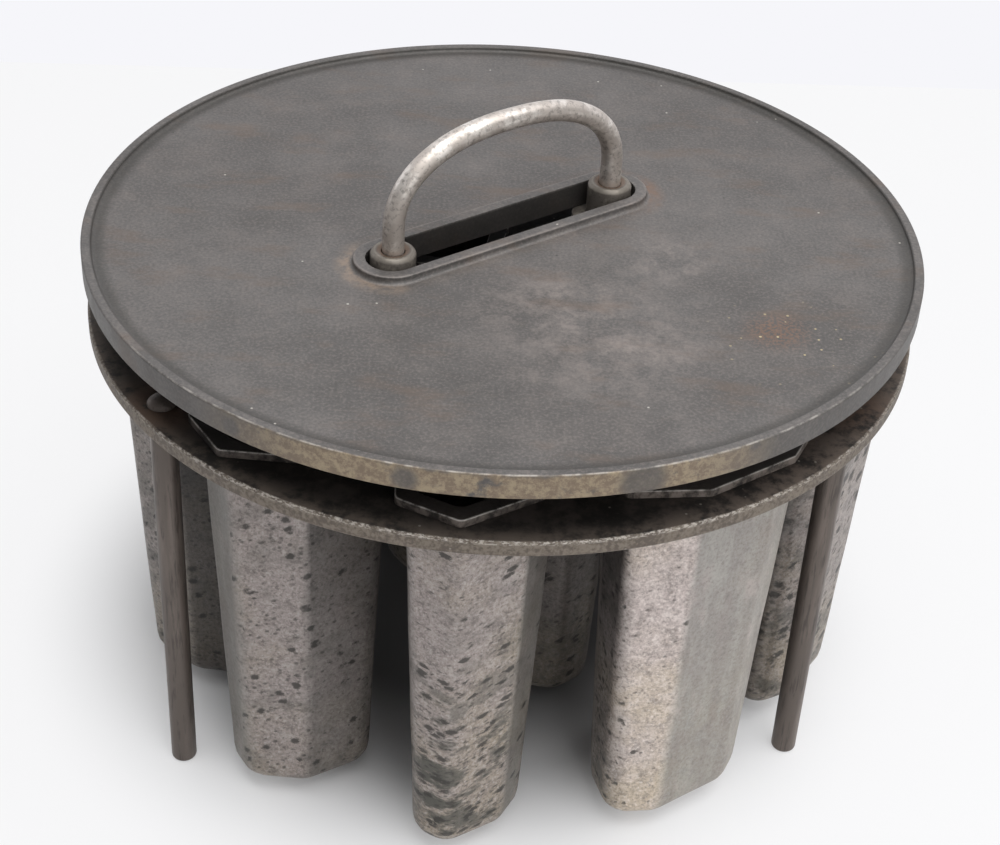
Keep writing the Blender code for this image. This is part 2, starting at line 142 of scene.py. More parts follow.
def stackedSolid(rings, bm=None):
    # Caps the first ring, extrudes it through the others and caps the last
    bm = bm or bmesh.new()
    count = len(rings[0])
    loop = bmesh.ops.create_circle(bm, cap_ends=True, segments=count, radius=mm)["verts"]
    loops = [loop]
    for vert, point in zip(loop, rings[0]):
        vert.co = point
    for ring in rings[1:]:
        edges = [bm.edges.get((loop[side - 1], loop[side])) for side in range(count)]
        grown = {item for item in bmesh.ops.extrude_edge_only(bm, edges=edges)["geom"]
                 if isinstance(item, bmesh.types.BMVert)}
        loop = [next(edge.other_vert(vert) for edge in vert.link_edges
                     if edge.other_vert(vert) in grown) for vert in loop]
        loops.append(loop)
        for vert, point in zip(loop, ring):
            vert.co = point
    edges = [bm.edges.get((loop[side - 1], loop[side])) for side in range(count)]
    bmesh.ops.contextual_create(bm, geom=edges)
    bmesh.ops.recalc_face_normals(bm, faces=bm.faces[:])
    return bm, loops


def drill(radius, low, high, place):
    # A plain upright cylinder, which runs past both heights
    depth = high - low + 2 * mould["toolPast"]
    bm = bmesh.new()
    bmesh.ops.create_cone(bm, cap_ends=True, segments=48, radius1=radius * mm, radius2=radius * mm,
                          depth=depth * mm)
    bmesh.ops.translate(bm, verts=bm.verts[:], vec=place + Vector((0, 0, (low + high) / 2 * mm)))
    return bm


def arc(centre, size, start, end, steps):
    # Points of a round or oval corner in a profile, from one angle to another
    turns = [math.radians(start + (end - start) * step / steps) for step in range(steps + 1)]
    return [(centre[0] + size[0] * math.cos(turned), centre[1] + size[1] * math.sin(turned))
            for turned in turns]


def combineWith(piece, bm, operation):
    # Joins a solid to the piece or cuts it out, and keeps the result as the piece's mesh
    mesh = bpy.data.meshes.new("tool")
    bm.to_mesh(mesh)
    bm.free()
    tool = bpy.data.objects.new("tool", mesh)
    bpy.context.scene.collection.objects.link(tool)
    modifier = piece.modifiers.new("combine", "BOOLEAN")
    modifier.operation = operation
    modifier.solver = "EXACT"
    modifier.object = tool
    graph = bpy.context.evaluated_depsgraph_get()
    result = bpy.data.meshes.new_from_object(piece.evaluated_get(graph))
    piece.modifiers.clear()
    piece.data = result
    bpy.data.objects.remove(tool)


def keepFlatsFlat(piece):
    # Lets wide faces set the shading where they meet their fillets
    weighted = piece.modifiers.new("flatFaces", "WEIGHTED_NORMAL")
    weighted.weight = 100
    weighted.keep_sharp = True


def unevenSkin(bm, depth, size, seed, highest=1e9):
    # Moves vertices below a height along their normals by smooth noise, as a casting varies
    bm.normal_update()
    shift = Vector((seed * 7.3, seed * 3.1, seed * 5.7))
    for vert in bm.verts:
        if vert.co.z < highest * mm:
            vert.co += vert.normal * noise.noise(vert.co / (size * mm) + shift) * depth * mm


# Sizes that the finishes need too, in millimetres

lidPiece = {
    "beadWidth": 3.6, "beadFillet": 2.2, "edge": 0.7, "rimWidth": 6.5, "web": 4.5, "drawIn": 1.0,
    "flatRing": 3.0, "collarWall": 4.5, "collarFoot": 1.6, "collarEdge": 0.6, "collarLap": 0.7,
    "collarProud": 0.02, "slotEdge": 0.4, "segments": 256, "bendSteps": 5,
}
cupPiece = {
    "flangeHeight": 3.2, "overhang": 3.4, "wall": 3.0, "drawIn": 5.7, "bottomBend": 11.0,
    "wallCorner": 4.8, "footCorner": 9.0, "flangeCorner": 3.0, "flangeEdge": 0.5,
    "holeClearance": 0.6, "cornerSteps": 5, "bendSteps": 6, "sideSplits": 3, "wallSteps": 14,
    "unevenDepth": 0.28, "unevenSize": 26.0, "cornerWear": 0.45,
}


def postPlaces():
    angle, half = mould["handleAngle"], mould["handleSpan"] / 2
    return {"rear": aroundAxis(angle, half), "front": aroundAxis(angle, -half)}


# Outlines of the cups and of the slot

outlines = {
    # corners as shares of a cell: sideways from -1 to 1, outwards from 0 to 1
    "pointed": ((-0.77, 0.84), (-0.24, 1.0), (0.37, 0.76), (0.7, 0.5),
                (0.63, 0.15), (-0.25, 0.01), (-0.94, 0.18), (-0.95, 0.5)),
    "broad": ((-1.04, 0.72), (-0.37, 0.93), (0.43, 0.94), (1.06, 0.75),
              (0.95, 0.38), (0.53, 0.04), (-0.66, 0.03), (-1.04, 0.35)),
    "leaning": ((-1.13, 0.61), (-0.6, 0.89), (0.08, 1.06), (0.68, 0.91),
                (0.72, 0.4), (0.46, 0.04), (-0.61, 0.03), (-1.0, 0.3)),
    "eightSided": ((-0.65, 0.88), (-0.15, 1.0), (0.44, 0.77), (1.02, 0.31),
                   (0.6, 0.03), (-0.5, 0.0), (-0.93, 0.21), (-0.93, 0.6)),
}
# kinds of the outer cups from the front, each with its own turn past its tenth of the ring
ringOrder = (("pointed", 0.0), ("broad", 0.0), ("leaning", 5.5), ("eightSided", 0.0), ("eightSided", 0.0))
cupCells = {"margin": 5.8, "innerRadius": 78.0, "spacing": 3.0, "acrossFlats": 52.0, "toOuter": 10.0,
            "cornerShare": 0.42}

# each leg's angle from the front and how far its middle is from the plate's edge
legPlaces = ((60.6, 14.3), (127.0, 9.3), (240.6, 14.3), (307.0, 9.3))


def outerCorners(kind):
    # A flange's corners at the front of the plate
    outer = mould["plateRadius"] - cupCells["margin"]
    corners = []
    for sideways, outwards in outlines[kind]:
        radius = cupCells["innerRadius"] + outwards * (outer - cupCells["innerRadius"])
        halfCell = radius * math.tan(math.pi / mould["cups"]) - cupCells["spacing"] / 2
        corners.append(Vector((sideways * halfCell, -radius)))
    return corners


def innerCorners():
    # The middle cups are regular octagons
    reach = cupCells["acrossFlats"] / 2 / math.cos(math.pi / 8)
    out = cupCells["innerRadius"] - cupCells["toOuter"] - cupCells["acrossFlats"] / 2
    turns = [math.pi * (2 * number + 1) / 8 for number in range(8)]
    return [Vector((reach * math.cos(turned), reach * math.sin(turned) - out)) for turned in turns]


def cupPlaces():
    # Each cup's node, its corners at the front and the angle that it is turned to
    for number in range(mould["cups"]):
        kind, more = ringOrder[number % len(ringOrder)]
        yield f"outer_cup_{number + 1:02d}", outerCorners(kind), 360 * number / mould["cups"] + more
    for number, side in enumerate((-90, 90), 1):
        yield f"inner_cup_{number:02d}", innerCorners(), mould["handleAngle"] + side


def insetCorners(corners, inset):
    # Every side of an outline moved inwards by the same distance
    centre = sum(corners, Vector((0.0, 0.0))) / len(corners)
    sides = []
    for here, after in zip(corners, corners[1:] + corners[:1]):
        along = (after - here).normalized()
        inwards = Vector((-along.y, along.x))
        if inwards.dot(centre - here) < 0:
            inwards.negate()
        sides.append((inwards, inwards.dot(here) + inset))
    moved = []
    for (first, firstReach), (second, secondReach) in zip(sides[-1:] + sides[:-1], sides):
        cross = first.x * second.y - first.y * second.x
        moved.append(Vector(((firstReach * second.y - secondReach * first.y) / cross,
                             (first.x * secondReach - second.x * firstReach) / cross)))
    return moved


def cornerArcs(corners, inset, bend, steps, splits, turned, height):
    # A ring with an arc at each corner and points along each side, turned into place
    moved = insetCorners(corners, inset)
    arcs = []
    for before, corner, after in zip(moved[-1:] + moved[:-1], moved, moved[1:] + moved[:1]):
        back = (before - corner).normalized()
        ahead = (after - corner).normalized()
        slant = math.tan(back.angle(ahead) / 2)
        shortest = min((before - corner).length, (after - corner).length)
        reach = min(bend / slant, cupCells["cornerShare"] * shortest)
        centre = corner + (back + ahead).normalized() * math.hypot(reach, reach * slant)
        start = corner + back * reach - centre
        end = corner + ahead * reach - centre
        arcs.append([centre + start.slerp(end, step / steps) * start.length for step in range(steps + 1)])
    turn = Matrix.Rotation(math.radians(turned), 2)
    ring = []
    for bent, following in zip(arcs, arcs[1:] + arcs[:1]):
        ring += bent
        ring += [bent[-1].lerp(following[0], split / splits) for split in range(1, splits)]
    return [Vector((*(turn @ point), height)) * mm for point in ring]


def slotRing(outset, height, steps=24):
    # The slot's outline with round ends, moved outwards
    bend = slotHalfWidth + outset
    reach = slotHalfLength - slotHalfWidth
    turn = Matrix.Rotation(math.radians(mould["handleAngle"] - 90), 2)
    ring = []
    for side in (1, -1):
        for step in range(steps + 1):
            turned = math.pi * step / steps - math.pi / 2
            point = Vector((side * (reach + bend * math.cos(turned)), side * bend * math.sin(turned)))
            ring.append(Vector((*(turn @ point), height)) * mm)
    return ring


# Finishes. Their coordinates, and all sizes and heights here, are in millimetres

def startFinish(name, metallic):
    # A material with its shader and its output, and the object coordinates in millimetres
    material = bpy.data.materials.new(name)
    material.use_nodes = True
    tree = material.node_tree
    tree.nodes.clear()
    shader = addNode(tree, "ShaderNodeBsdfPrincipled", {"Metallic": metallic})
    addNode(tree, "ShaderNodeOutputMaterial", {"Surface": shader.outputs["BSDF"]})
    coords = addNode(tree, "ShaderNodeTexCoord").outputs["Object"]
    coords = addNode(tree, "ShaderNodeVectorMath", {0: coords, "Scale": 1 / mm}, operation="SCALE")
    return material, tree, shader, coords.outputs["Vector"]


def softMask(tree, *factors):
    # The product of masks. Each is a number, a socket, or a soft step in brackets: the socket,
    # its values where the step starts and ends and, if they aren't 0 and 1, what it gives there
    product = None
    for factor in factors:
        if isinstance(factor, tuple):
            value, low, high, *ends = factor
            atLow, atHigh = ends or (0.0, 1.0)
            factor = addNode(tree, "ShaderNodeMapRange", {
                "Value": value, "From Min": low, "From Max": high, "To Min": atLow, "To Max": atHigh},
                interpolation_type="SMOOTHSTEP").outputs["Result"]
        if product is not None:
            factor = addNode(tree, "ShaderNodeMath", {0: product, 1: factor},
                             operation="MULTIPLY").outputs["Value"]
        product = factor
    return product


def addUp(tree, *terms):
    # The sum of values or sockets, each with its weight
    total = 0.0
    for value, weight in terms:
        total = addNode(tree, "ShaderNodeMath", {0: value, 1: weight, 2: total},
                        operation="MULTIPLY_ADD").outputs["Value"]
    return total


def coat(tree, below, above, *factors):
    # A colour laid on another where its masks are 1; a colour is a hex value or a socket
    below, above = (linearColour(tint) if isinstance(tint, str) else tint for tint in (below, above))
    return addNode(tree, "ShaderNodeMix", {0: softMask(tree, *factors), 6: below, 7: above},
                   data_type="RGBA").outputs[2]


def coats(tree, colour, look, noises, rows):
    # Coats over all of a piece: the pattern, where it starts and is full, how strong, the colour
    for pattern, low, high, strength, tint in rows:
        colour = coat(tree, colour, look[tint], (noises[pattern], low, high), strength)
    return colour


def noisePatterns(tree, coords, rows):
    # Noise by name: how wide its blotches are, its detail and roughness, and for some of it
    # what moves, turns or stretches it
    noises = {}
    for name, (size, detail, roughness, *moves) in rows.items():
        place = coords
        if moves:
            place = addNode(tree, "ShaderNodeMapping", {"Vector": coords, **moves[0]}).outputs["Vector"]
        noises[name] = addNode(tree, "ShaderNodeTexNoise", {
            "Vector": place, "Scale": 1 / size, "Detail": detail, "Roughness": roughness}).outputs["Fac"]
    return noises


def lengthOf(tree, x, y):
    # The length of a flat arrow from its two parts
    flat = addNode(tree, "ShaderNodeCombineXYZ", {"X": x, "Y": y}).outputs["Vector"]
    return addNode(tree, "ShaderNodeVectorMath", {0: flat}, operation="LENGTH").outputs["Value"]


def axes(tree, coords):
    # X, Y and Z, and the distance from the upright axis
    x, y, z = addNode(tree, "ShaderNodeSeparateXYZ", {"Vector": coords}).outputs
    return x, y, z, lengthOf(tree, x, y)


def nearTo(tree, coords, place, close, far, atNear=1.0, atFar=0.0):
    # A soft step from one value near a place to another beyond the far distance
    away = addNode(tree, "ShaderNodeVectorMath", {0: coords, 1: place}, operation="DISTANCE")
    return softMask(tree, (away.outputs["Value"], close, far, atNear, atFar))


def flecks(tree, coords, spacing, reach, share, soft, ragged=None, moves=None):
    # Separate soft spots, one in each chosen cell. Reach and softness are parts of a cell, the
    # share of chosen cells may be a mask, and noise with its weight makes the spots ragged
    if moves:
        coords = addNode(tree, "ShaderNodeMapping", {"Vector": coords, **moves}).outputs["Vector"]
    cells = addNode(tree, "ShaderNodeTexVoronoi", {"Vector": coords, "Scale": 1 / spacing}).outputs
    pick = addNode(tree, "ShaderNodeSeparateColor", {"Color": cells["Color"]}).outputs["Red"]
    distance = addUp(tree, (cells["Distance"], 1.0), ragged) if ragged else cells["Distance"]
    chosen = addUp(tree, (share, 1.0), (pick, -1.0))
    return softMask(tree, (distance, reach, reach + soft, 1.0, 0.0), (chosen, -0.01, 0.01))


def endFinish(tree, shader, colour, roughness, *heights):
    # Links the colour and a roughness that varies, and bumps the surface by patterns, each with
    # its depth in millimetres
    tree.links.new(colour, shader.inputs["Base Color"])
    tree.links.new(softMask(tree, roughness), shader.inputs["Roughness"])
    inputs = {}
    for height, depth in heights:
        bump = addNode(tree, "ShaderNodeBump", {"Height": height, "Distance": depth * mm, **inputs})
        inputs = {"Normal": bump.outputs["Normal"]}
    tree.links.new(inputs["Normal"], shader.inputs["Normal"])


def alongSlot(tree, coords):
    # How far along the slot a point is, how far past the ends of its straight middle, and how
    # far from its middle line
    turn = (0, 0, math.radians(90 - mould["handleAngle"]))
    turned = addNode(tree, "ShaderNodeMapping", {"Vector": coords, "Rotation": turn}).outputs["Vector"]
    along, across = axes(tree, turned)[:2]
    past = addNode(tree, "ShaderNodeMath", {0: along}, operation="ABSOLUTE").outputs["Value"]
    past = addUp(tree, (past, 1.0), (slotHalfLength - slotHalfWidth, -1.0))
    past = addNode(tree, "ShaderNodeMath", {0: past, 1: 0.0}, operation="MAXIMUM").outputs["Value"]
    return along, past, lengthOf(tree, past, across)


lidIron = {
    "skin": "676462", "shade": "5c5957", "rubbed": "9b918b", "brown": "6f5f53", "rust": "7d6250",
    "crust": "9a8878", "tan": "a6967c", "sideTan": "82715f", "sideDark": "54504d", "edge": "c9c3bb",
    "speck": "d8d3ca", "slot": "33302e", "orange": "8c5f3c", "yellow": "cdbc94", "pitAndShade": "35332f",
    "metallic": 0.25, "roughness": (0.43, 0.56),
    # how wide each pattern's blotches are, its detail and roughness, and what moves or turns it
    "noises": {
        "broad": (70.0, 5.0, 0.6),
        "streaks": (38.0, 5.0, 0.6, {"Rotation": (0, 0, math.radians(25)), "Scale": (1.0, 2.4, 1.0)}),
        "cloudy": (24.0, 7.0, 0.62, {"Location": (300, 500, 100)}),
        "blotch": (15.0, 6.0, 0.7),
        "ragged": (11.0, 9.0, 0.8),
        "mottle": (9.0, 6.0, 0.7),
        "broken": (5.0, 5.0, 0.7),
        "sideGrain": (3.0, 5.0, 0.75),
        "grain": (1.1, 2.0, 0.6),   # the sand's is about 0.4 mm, drawn coarser so that it shows
    },
    # the pattern, where the coat starts and is full, how strong it is, and its colour
    "coats": (("broad", 0.38, 0.62, 1.0, "skin"),
              ("cloudy", 0.46, 0.68, 0.12, "rubbed"), ("cloudy", 0.5, 0.3, 0.15, "pitAndShade"),
              ("grain", 0.5, 0.66, 0.2, "rubbed"), ("grain", 0.5, 0.34, 0.22, "pitAndShade"),
              ("mottle", 0.52, 0.68, 0.12, "rubbed"), ("mottle", 0.48, 0.34, 0.15, "pitAndShade")),
    # specks: how far apart, their reach, the share of cells that have one, how soft
    "paleSpecks": (9.0, 0.035, 0.3, 0.03),
    "yellowSpecks": (3.4, 0.1, 0.45, 0.08),
    "pits": (11.0, 0.04, 0.4, 0.04),
    # where it is rubbed bare: the place, how near and far the wear reaches, how strongly
    "rubbedAt": (((30.0, -40.0), 4, 34, 0.5), ((12.0, -56.0), 6, 34, 0.5), ((34.0, -84.0), 8, 44, 0.45),
                 ((60.0, -18.0), 3, 24, 0.65), ((52.0, -72.0), 4, 36, 0.4)),
    "orangeAt": ((94.0, -62.0), 2, 16),
    "yellowAt": ((98.0, -68.0), 4, 36),
    # dark patches on the side, by angle and width
    "darkAt": ((-11.0, 6.0), (17.0, 11.0), (-34.0, 5.0)),
}


def makeLidIron():
    # Grey cast iron with its foundry skin, blackened by age: satin, fine in grain and nearly
    # even, paler where it is rubbed, and rusty only round the collar's foot
    look = lidIron
    material, tree, shader, coords = startFinish("greyCastIron", look["metallic"])
    x, y, z, radius = axes(tree, coords)
    noises = noisePatterns(tree, coords, look["noises"])
    mottle, ragged, grain = noises["mottle"], noises["ragged"], noises["grain"]
    top, edgeOut = mould["lidTop"], mould["lidRadius"]
    collarTop, beadTop = mould["collarTop"], top + mould["beadRise"]
    colour = coats(tree, look["shade"], look, noises, look["coats"])

    # pinkish patches rubbed bare on the front right, ragged down to 1 mm
    for place, close, far, strength in look["rubbedAt"]:
        near = nearTo(tree, coords, (*place, top), close, far)
        colour = coat(tree, colour, look["rubbed"], near, (ragged, 0.4, 0.68), strength)

    # faint brown streaks, painted shade inside the bead, and rust along the collar's foot, most at
    # its ends
    colour = coat(tree, colour, look["brown"], (noises["streaks"], 0.52, 0.7), 0.45)
    shadeInBead = addUp(tree, (radius, 1.0), (mottle, 3.0))
    colour = coat(tree, colour, look["pitAndShade"], (shadeInBead, edgeOut - 8.5, edgeOut - 4.0),
                  (radius, edgeOut - 3.4, edgeOut - 2.8, 1.0, 0.0), 0.6)
    along, past, fromLine = alongSlot(tree, coords)
    collarOut = slotHalfWidth + lidPiece["collarWall"]
    rust = coat(tree, look["crust"], look["rust"], (along, 0.0, 20.0))
    colour = coat(tree, colour, rust, (fromLine, collarOut + 0.3, collarOut + 1.8),
                  (fromLine, collarOut + 2.0, collarOut + 8.5, 1.0, 0.0), (past, 1.0, 9.0, 0.16, 1.0),
                  (ragged, 0.36, 0.58), 0.8)
    colour = coat(tree, colour, look["rubbed"], (z, collarTop - 0.5, collarTop - 0.1),
                  (fromLine, collarOut - 1.4, collarOut - 0.4), (ragged, 0.3, 0.6), 0.4)

    # the lid's side: tan with dark blotches in front, plain dark grey elsewhere, and a painted
    # highlight, broken, along the front of the bead's outer corner
    onSide = softMask(tree, (radius, edgeOut - 0.9, edgeOut - 0.2))
    colour = coat(tree, colour, look["sideDark"], onSide, 0.35)
    sideways, frontways = (addNode(tree, "ShaderNodeMath", {0: part, 1: radius}, operation="DIVIDE")
                           .outputs["Value"] for part in (x, y))
    wavy = addUp(tree, (z, 1.0), (mottle, 5.0))
    darkPlaces = [(aroundAxis(angle, edgeOut, top - 3.0) / mm, width) for angle, width in look["darkAt"]]
    clear = [nearTo(tree, coords, place, width * 0.4, width, 0.15, 1.0) for place, width in darkPlaces]
    tan = coat(tree, look["sideTan"], look["tan"], (noises["sideGrain"], 0.4, 0.62))
    colour = coat(tree, colour, tan, onSide, (frontways, -0.95, -0.76, 1.0, 0.0), (sideways, 0.62, 0.5),
                  (noises["blotch"], 0.32, 0.44), (wavy, top + 3.2, top + 5.4, 1.0, 0.0), *clear, 0.92)
    # painted highlight, broken, along the front of the bead's outer corner
    colour = coat(tree, colour, look["edge"], (z, beadTop - 0.45, beadTop - 0.1),
                  (radius, edgeOut - 1.0, edgeOut - 0.5), (noises["broken"], 0.4, 0.64),
                  (y, -60.0, -120.0), 0.5)
    # painted shade down the slot's walls, below the collar's top
    colour = coat(tree, colour, look["slot"], (z, collarTop - 1.2, collarTop - 0.3, 1.0, 0.0),
                  (fromLine, slotHalfWidth + 0.1, slotHalfWidth + 0.4, 1.0, 0.0), 0.75)

    # pale, orange and yellow specks, and a few dark pits
    colour = coat(tree, colour, look["speck"], flecks(tree, coords, *look["paleSpecks"]), 0.7)
    rusty, yellow = (nearTo(tree, coords, (*place, top), close, far)
                     for place, close, far in (look["orangeAt"], look["yellowAt"]))
    colour = coat(tree, colour, look["orange"], rusty, (grain, 0.4, 0.6), 0.45)
    sparse = flecks(tree, coords, *look["yellowSpecks"], moves={"Location": (100, 200, 300)})
    colour = coat(tree, colour, look["yellow"], sparse, yellow)
    pits = flecks(tree, coords, *look["pits"], (grain, 0.05), {"Rotation": (0, 0, math.radians(40))})
    colour = coat(tree, colour, look["pitAndShade"], pits, 0.6)
    endFinish(tree, shader, colour, (mottle, 0.3, 0.7, *look["roughness"]),
              (noises["broad"], 0.3), (mottle, 0.06), (grain, 0.025))
    return material


plateIron = {
    "skin": "4c4541", "shade": "2d2a28", "edge": "857b6f", "edgeDark": "655b52", "rust": "6b5344",
    "paleRight": "73665d", "scratchAndGlint": "cfc8bf", "under": "4e4843", "speck": "a19a90",
    "metallic": 0.25, "roughness": (0.52, 0.68),
    "noises": {"mottle": (10.0, 6.0, 0.7), "scratchAndGlint": (1.6, 4.0, 0.75, {"Scale": (1, 1, 3)}),
               "grit": (1.5, 3.0, 0.6)},
    "coats": (("mottle", 0.4, 0.62, 1.0, "skin"), ("grit", 0.56, 0.7, 0.4, "under")),
    "specks": (5.0, 0.06, 0.3, 0.05),
}


def makePlateIron():
    # The same iron on the base plate, nearly black and rough on top, with its edge rubbed
    # gritty brown-grey and scratched bare along the upper corner, with a painted highlight there
    look = plateIron
    material, tree, shader, coords = startFinish("brownCastIron", look["metallic"])
    x, y, z, radius = axes(tree, coords)
    noises = noisePatterns(tree, coords, look["noises"])
    mottle, grit = noises["mottle"], noises["grit"]
    top, low, edgeOut = mould["plateTop"], mould["plateUnder"], mould["plateRadius"]
    colour = coats(tree, look["shade"], look, noises, look["coats"])

    # browner towards the rim, paler towards the right and rusty round the legs' heads
    colour = coat(tree, colour, look["edgeDark"], (radius, edgeOut - 10.0, edgeOut),
                  (mottle, 0.36, 0.56), 0.85)
    colour = coat(tree, colour, look["paleRight"], (x, 30.0, 120.0), (mottle, 0.4, 0.6), 0.6)
    for angle, inset in legPlaces:
        halo = nearTo(tree, coords, aroundAxis(angle, edgeOut - inset, top) / mm, 5, 22)
        colour = coat(tree, colour, look["rust"], halo, (mottle, 0.36, 0.56), 0.6)
    under = coat(tree, look["skin"], look["under"], (mottle, 0.4, 0.6))
    colour = coat(tree, colour, under, (z, low + 0.1, low + 0.4, 1.0, 0.0))

    # the edge, and the scratches along its upper corner with a painted highlight along them, most of them
    # in front
    uneven = addUp(tree, (grit, 0.6), (mottle, 0.4))
    worn = coat(tree, look["edgeDark"], look["edge"], (uneven, 0.42, 0.58))
    wavy = addUp(tree, (radius, 1.0), (mottle, 1.2))
    colour = coat(tree, colour, worn, (wavy, edgeOut - 0.7, edgeOut + 0.3), 0.95)
    frontways = addNode(tree, "ShaderNodeMath", {0: y, 1: radius}, operation="DIVIDE").outputs["Value"]
    colour = coat(tree, colour, look["scratchAndGlint"], (z, top - 1.5, top - 0.5),
                  (radius, edgeOut - 1.2, edgeOut - 0.6), (frontways, -0.9, -0.3, 1.0, 0.35),
                  (noises["scratchAndGlint"], 0.46, 0.6), 0.8)
    colour = coat(tree, colour, look["speck"], flecks(tree, coords, *look["specks"]), 0.6)
    endFinish(tree, shader, colour, (mottle, 0.3, 0.7, *look["roughness"]), (mottle, 0.2), (grit, 0.09))
    return material


cupTin = {
    "pink": "a89d99", "beige": "a99c8a", "grey": "8d8d87", "dull": "7c7a75", "light": "c8c0bb",
    "shade": "726a66", "spot": "383531", "stain": "57564f", "bare": "ddd8d1", "mouth": "35312f",
    "rimSide": "857b74", "metallic": 0.3, "roughness": (0.4, 0.58),
    "noises": {
        "broad": (45.0, 5.0, 0.6),
        "clusters": (22.0, 3.0, 0.6),
        "cloud": (13.0, 6.0, 0.68, {"Scale": (1.0, 1.0, 0.5)}),
        "runs": (7.0, 4.0, 0.6, {"Scale": (1.0, 1.0, 0.16)}),
        "mottle": (6.0, 6.0, 0.72),
        "pepper": (1.9, 2.0, 0.6),
        "grain": (1.4, 4.0, 0.8),   # coarser than the real one, so that it shows
    },
    "coats": (("mottle", 0.5, 0.66, 0.45, "light"), ("mottle", 0.5, 0.34, 0.6, "shade"),
              ("grain", 0.5, 0.66, 0.7, "light"), ("grain", 0.5, 0.34, 0.75, "shade")),
    "wholeCoats": (("runs", 0.38, 0.64, 1.0, "grey"), ("cloud", 0.5, 0.34, 0.55, "shade"),
                   ("cloud", 0.52, 0.68, 0.5, "pink"), ("grain", 0.5, 0.34, 0.45, "shade")),
    "slantBend": 8.944,         # how softly the specks' slant turns over at its line
    "jaggedness": 0.6,
}


def makeCupTin(name, seed, turned, cupLook):
    # Hot-dipped tin over a rough cast wall: dull silver with a pink or beige cast, grainy, greyer
    # and smoother where the tin is whole, and eaten through in slanting dark specks
    look = cupTin
    spotSize, squeeze, crowd = cupLook["spotSize"], cupLook["squeeze"], cupLook["crowd"]
    material, tree, shader, coords = startFinish(name, look["metallic"])
    turn = (0, 0, math.radians(-turned))
    facing = addNode(tree, "ShaderNodeMapping", {"Vector": coords, "Rotation": turn}).outputs["Vector"]
    x, y, z = axes(tree, facing)[:3]
    shift = seed * Vector((370, 210, 130))
    moved = addNode(tree, "ShaderNodeMapping", {"Vector": facing, "Location": shift}).outputs["Vector"]
    face = addNode(tree, "ShaderNodeAttribute", attribute_name="faceLook").outputs["Color"]
    lightness, greyness, spottiness = addNode(tree, "ShaderNodeSeparateColor", {"Color": face}).outputs
    worn = addNode(tree, "ShaderNodeAttribute", attribute_name="worn").outputs["Fac"]
    noises = noisePatterns(tree, moved, look["noises"])
    mottle, grain = noises["mottle"], noises["grain"]
    foot = softMask(tree, (z, 12.0, 85.0, 0.2, 0.0))
    warm = addUp(tree, (noises["broad"], 1.0), (foot, 1.0))
    colour = coat(tree, look["pink"], look["beige"], (warm, 0.4, 0.8))
    colour = coats(tree, colour, look, noises, look["coats"])

    # whole tin: grey, with soft streaks where it ran down
    whole = coats(tree, look["dull"], look, noises, look["wholeCoats"])
    colour = coat(tree, colour, whole, greyness, 0.85)

    # soft specks flow away from a line down the cup, large and small, and crowd to the foot
    away = addUp(tree, (x, 1.0), (cupLook["middle"], -1.0))
    lean = lengthOf(tree, away, look["slantBend"])
    flow = addUp(tree, (z, squeeze), (lean, -squeeze * cupLook["slant"]))
    slanted = addNode(tree, "ShaderNodeCombineXYZ", {"X": x, "Y": y, "Z": flow}).outputs["Vector"]
    shift = seed * Vector((310, 170, 230))
    slanted = addNode(tree, "ShaderNodeMapping", {"Vector": slanted, "Location": shift}).outputs["Vector"]
    density = softMask(tree, spottiness, (z, 40.0, 120.0, 1.0 + 0.2 * crowd, 1.0 - 0.8 * crowd))
    clustered = softMask(tree, density, (noises["clusters"], 0.38, 0.58, 0.45, 1.1))
    flowing = noisePatterns(tree, slanted, {
        "jagged": (1.6, 3.0, 0.7), "stain": (spotSize * 2.2, 5.0, 0.6)})
    jagged = (flowing["jagged"], look["jaggedness"])
    large = flecks(tree, slanted, spotSize, 0.44 + 0.1 * crowd, clustered, 0.24, jagged)
    small = flecks(tree, slanted, spotSize * 0.5, 0.42, clustered, 0.3, jagged,
                   {"Location": (400, 100, 200)})
    colour = coat(tree, colour, look["stain"], (flowing["stain"], 0.48, 0.6), density, 0.5 + 0.4 * crowd)
    peppered = addUp(tree, (noises["pepper"], 1.0), (density, 0.04))
    pepper = softMask(tree, (peppered, 0.62, 0.72), (spottiness, 0.0, 0.5, 0.15, 0.45))
    eaten = addNode(tree, "ShaderNodeMath", {0: large, 1: softMask(tree, small, 0.75)},
                    operation="MAXIMUM").outputs["Value"]
    dark = addNode(tree, "ShaderNodeMath", {0: eaten, 1: pepper}, operation="MAXIMUM").outputs["Value"]
    colour = coat(tree, colour, look["spot"], dark, 0.88)
    # painted shade: darker up towards the plate, most on the sides painted darkest; then each side's and
    # each cup's lightness, tone and painted light and shade together, scales the colour
    shadeUnderPlate = softMask(tree, (z, 60.0, mould["plateUnder"] - 5), (lightness, 0.9, 0.5))
    value = softMask(tree, lightness, cupLook["lightness"], addUp(tree, (1.0, 1.0), (shadeUnderPlate, -0.75)))
    colour = addNode(tree, "ShaderNodeHueSaturation", {"Color": colour, "Value": value}).outputs["Color"]

    # the flange: dark on its side, its top a painted shade under the lid, rubbed bare along its edge as the
    # corners are
    flangeLow, flangeHigh = mould["plateTop"] + mould["air"], mould["plateTop"] + cupPiece["flangeHeight"]
    rim = coat(tree, look["mouth"], look["rimSide"], (mottle, 0.4, 0.6))
    rim = coat(tree, rim, look["mouth"], (z, flangeHigh - 0.3, flangeHigh - 0.1))
    rim = addNode(tree, "ShaderNodeHueSaturation", {"Color": rim, "Value": cupLook["lightness"]})
    colour = coat(tree, colour, rim.outputs["Color"], (z, flangeLow - 0.2, flangeLow), 0.9)
    colour = coat(tree, colour, look["bare"], (worn, 0.26, 1.1), (mottle, 0.36, 0.58))
    endFinish(tree, shader, colour, (mottle, 0.3, 0.7, *look["roughness"]),
              (mottle, 0.14), (grain, 0.05), (eaten, -0.08))
    return material


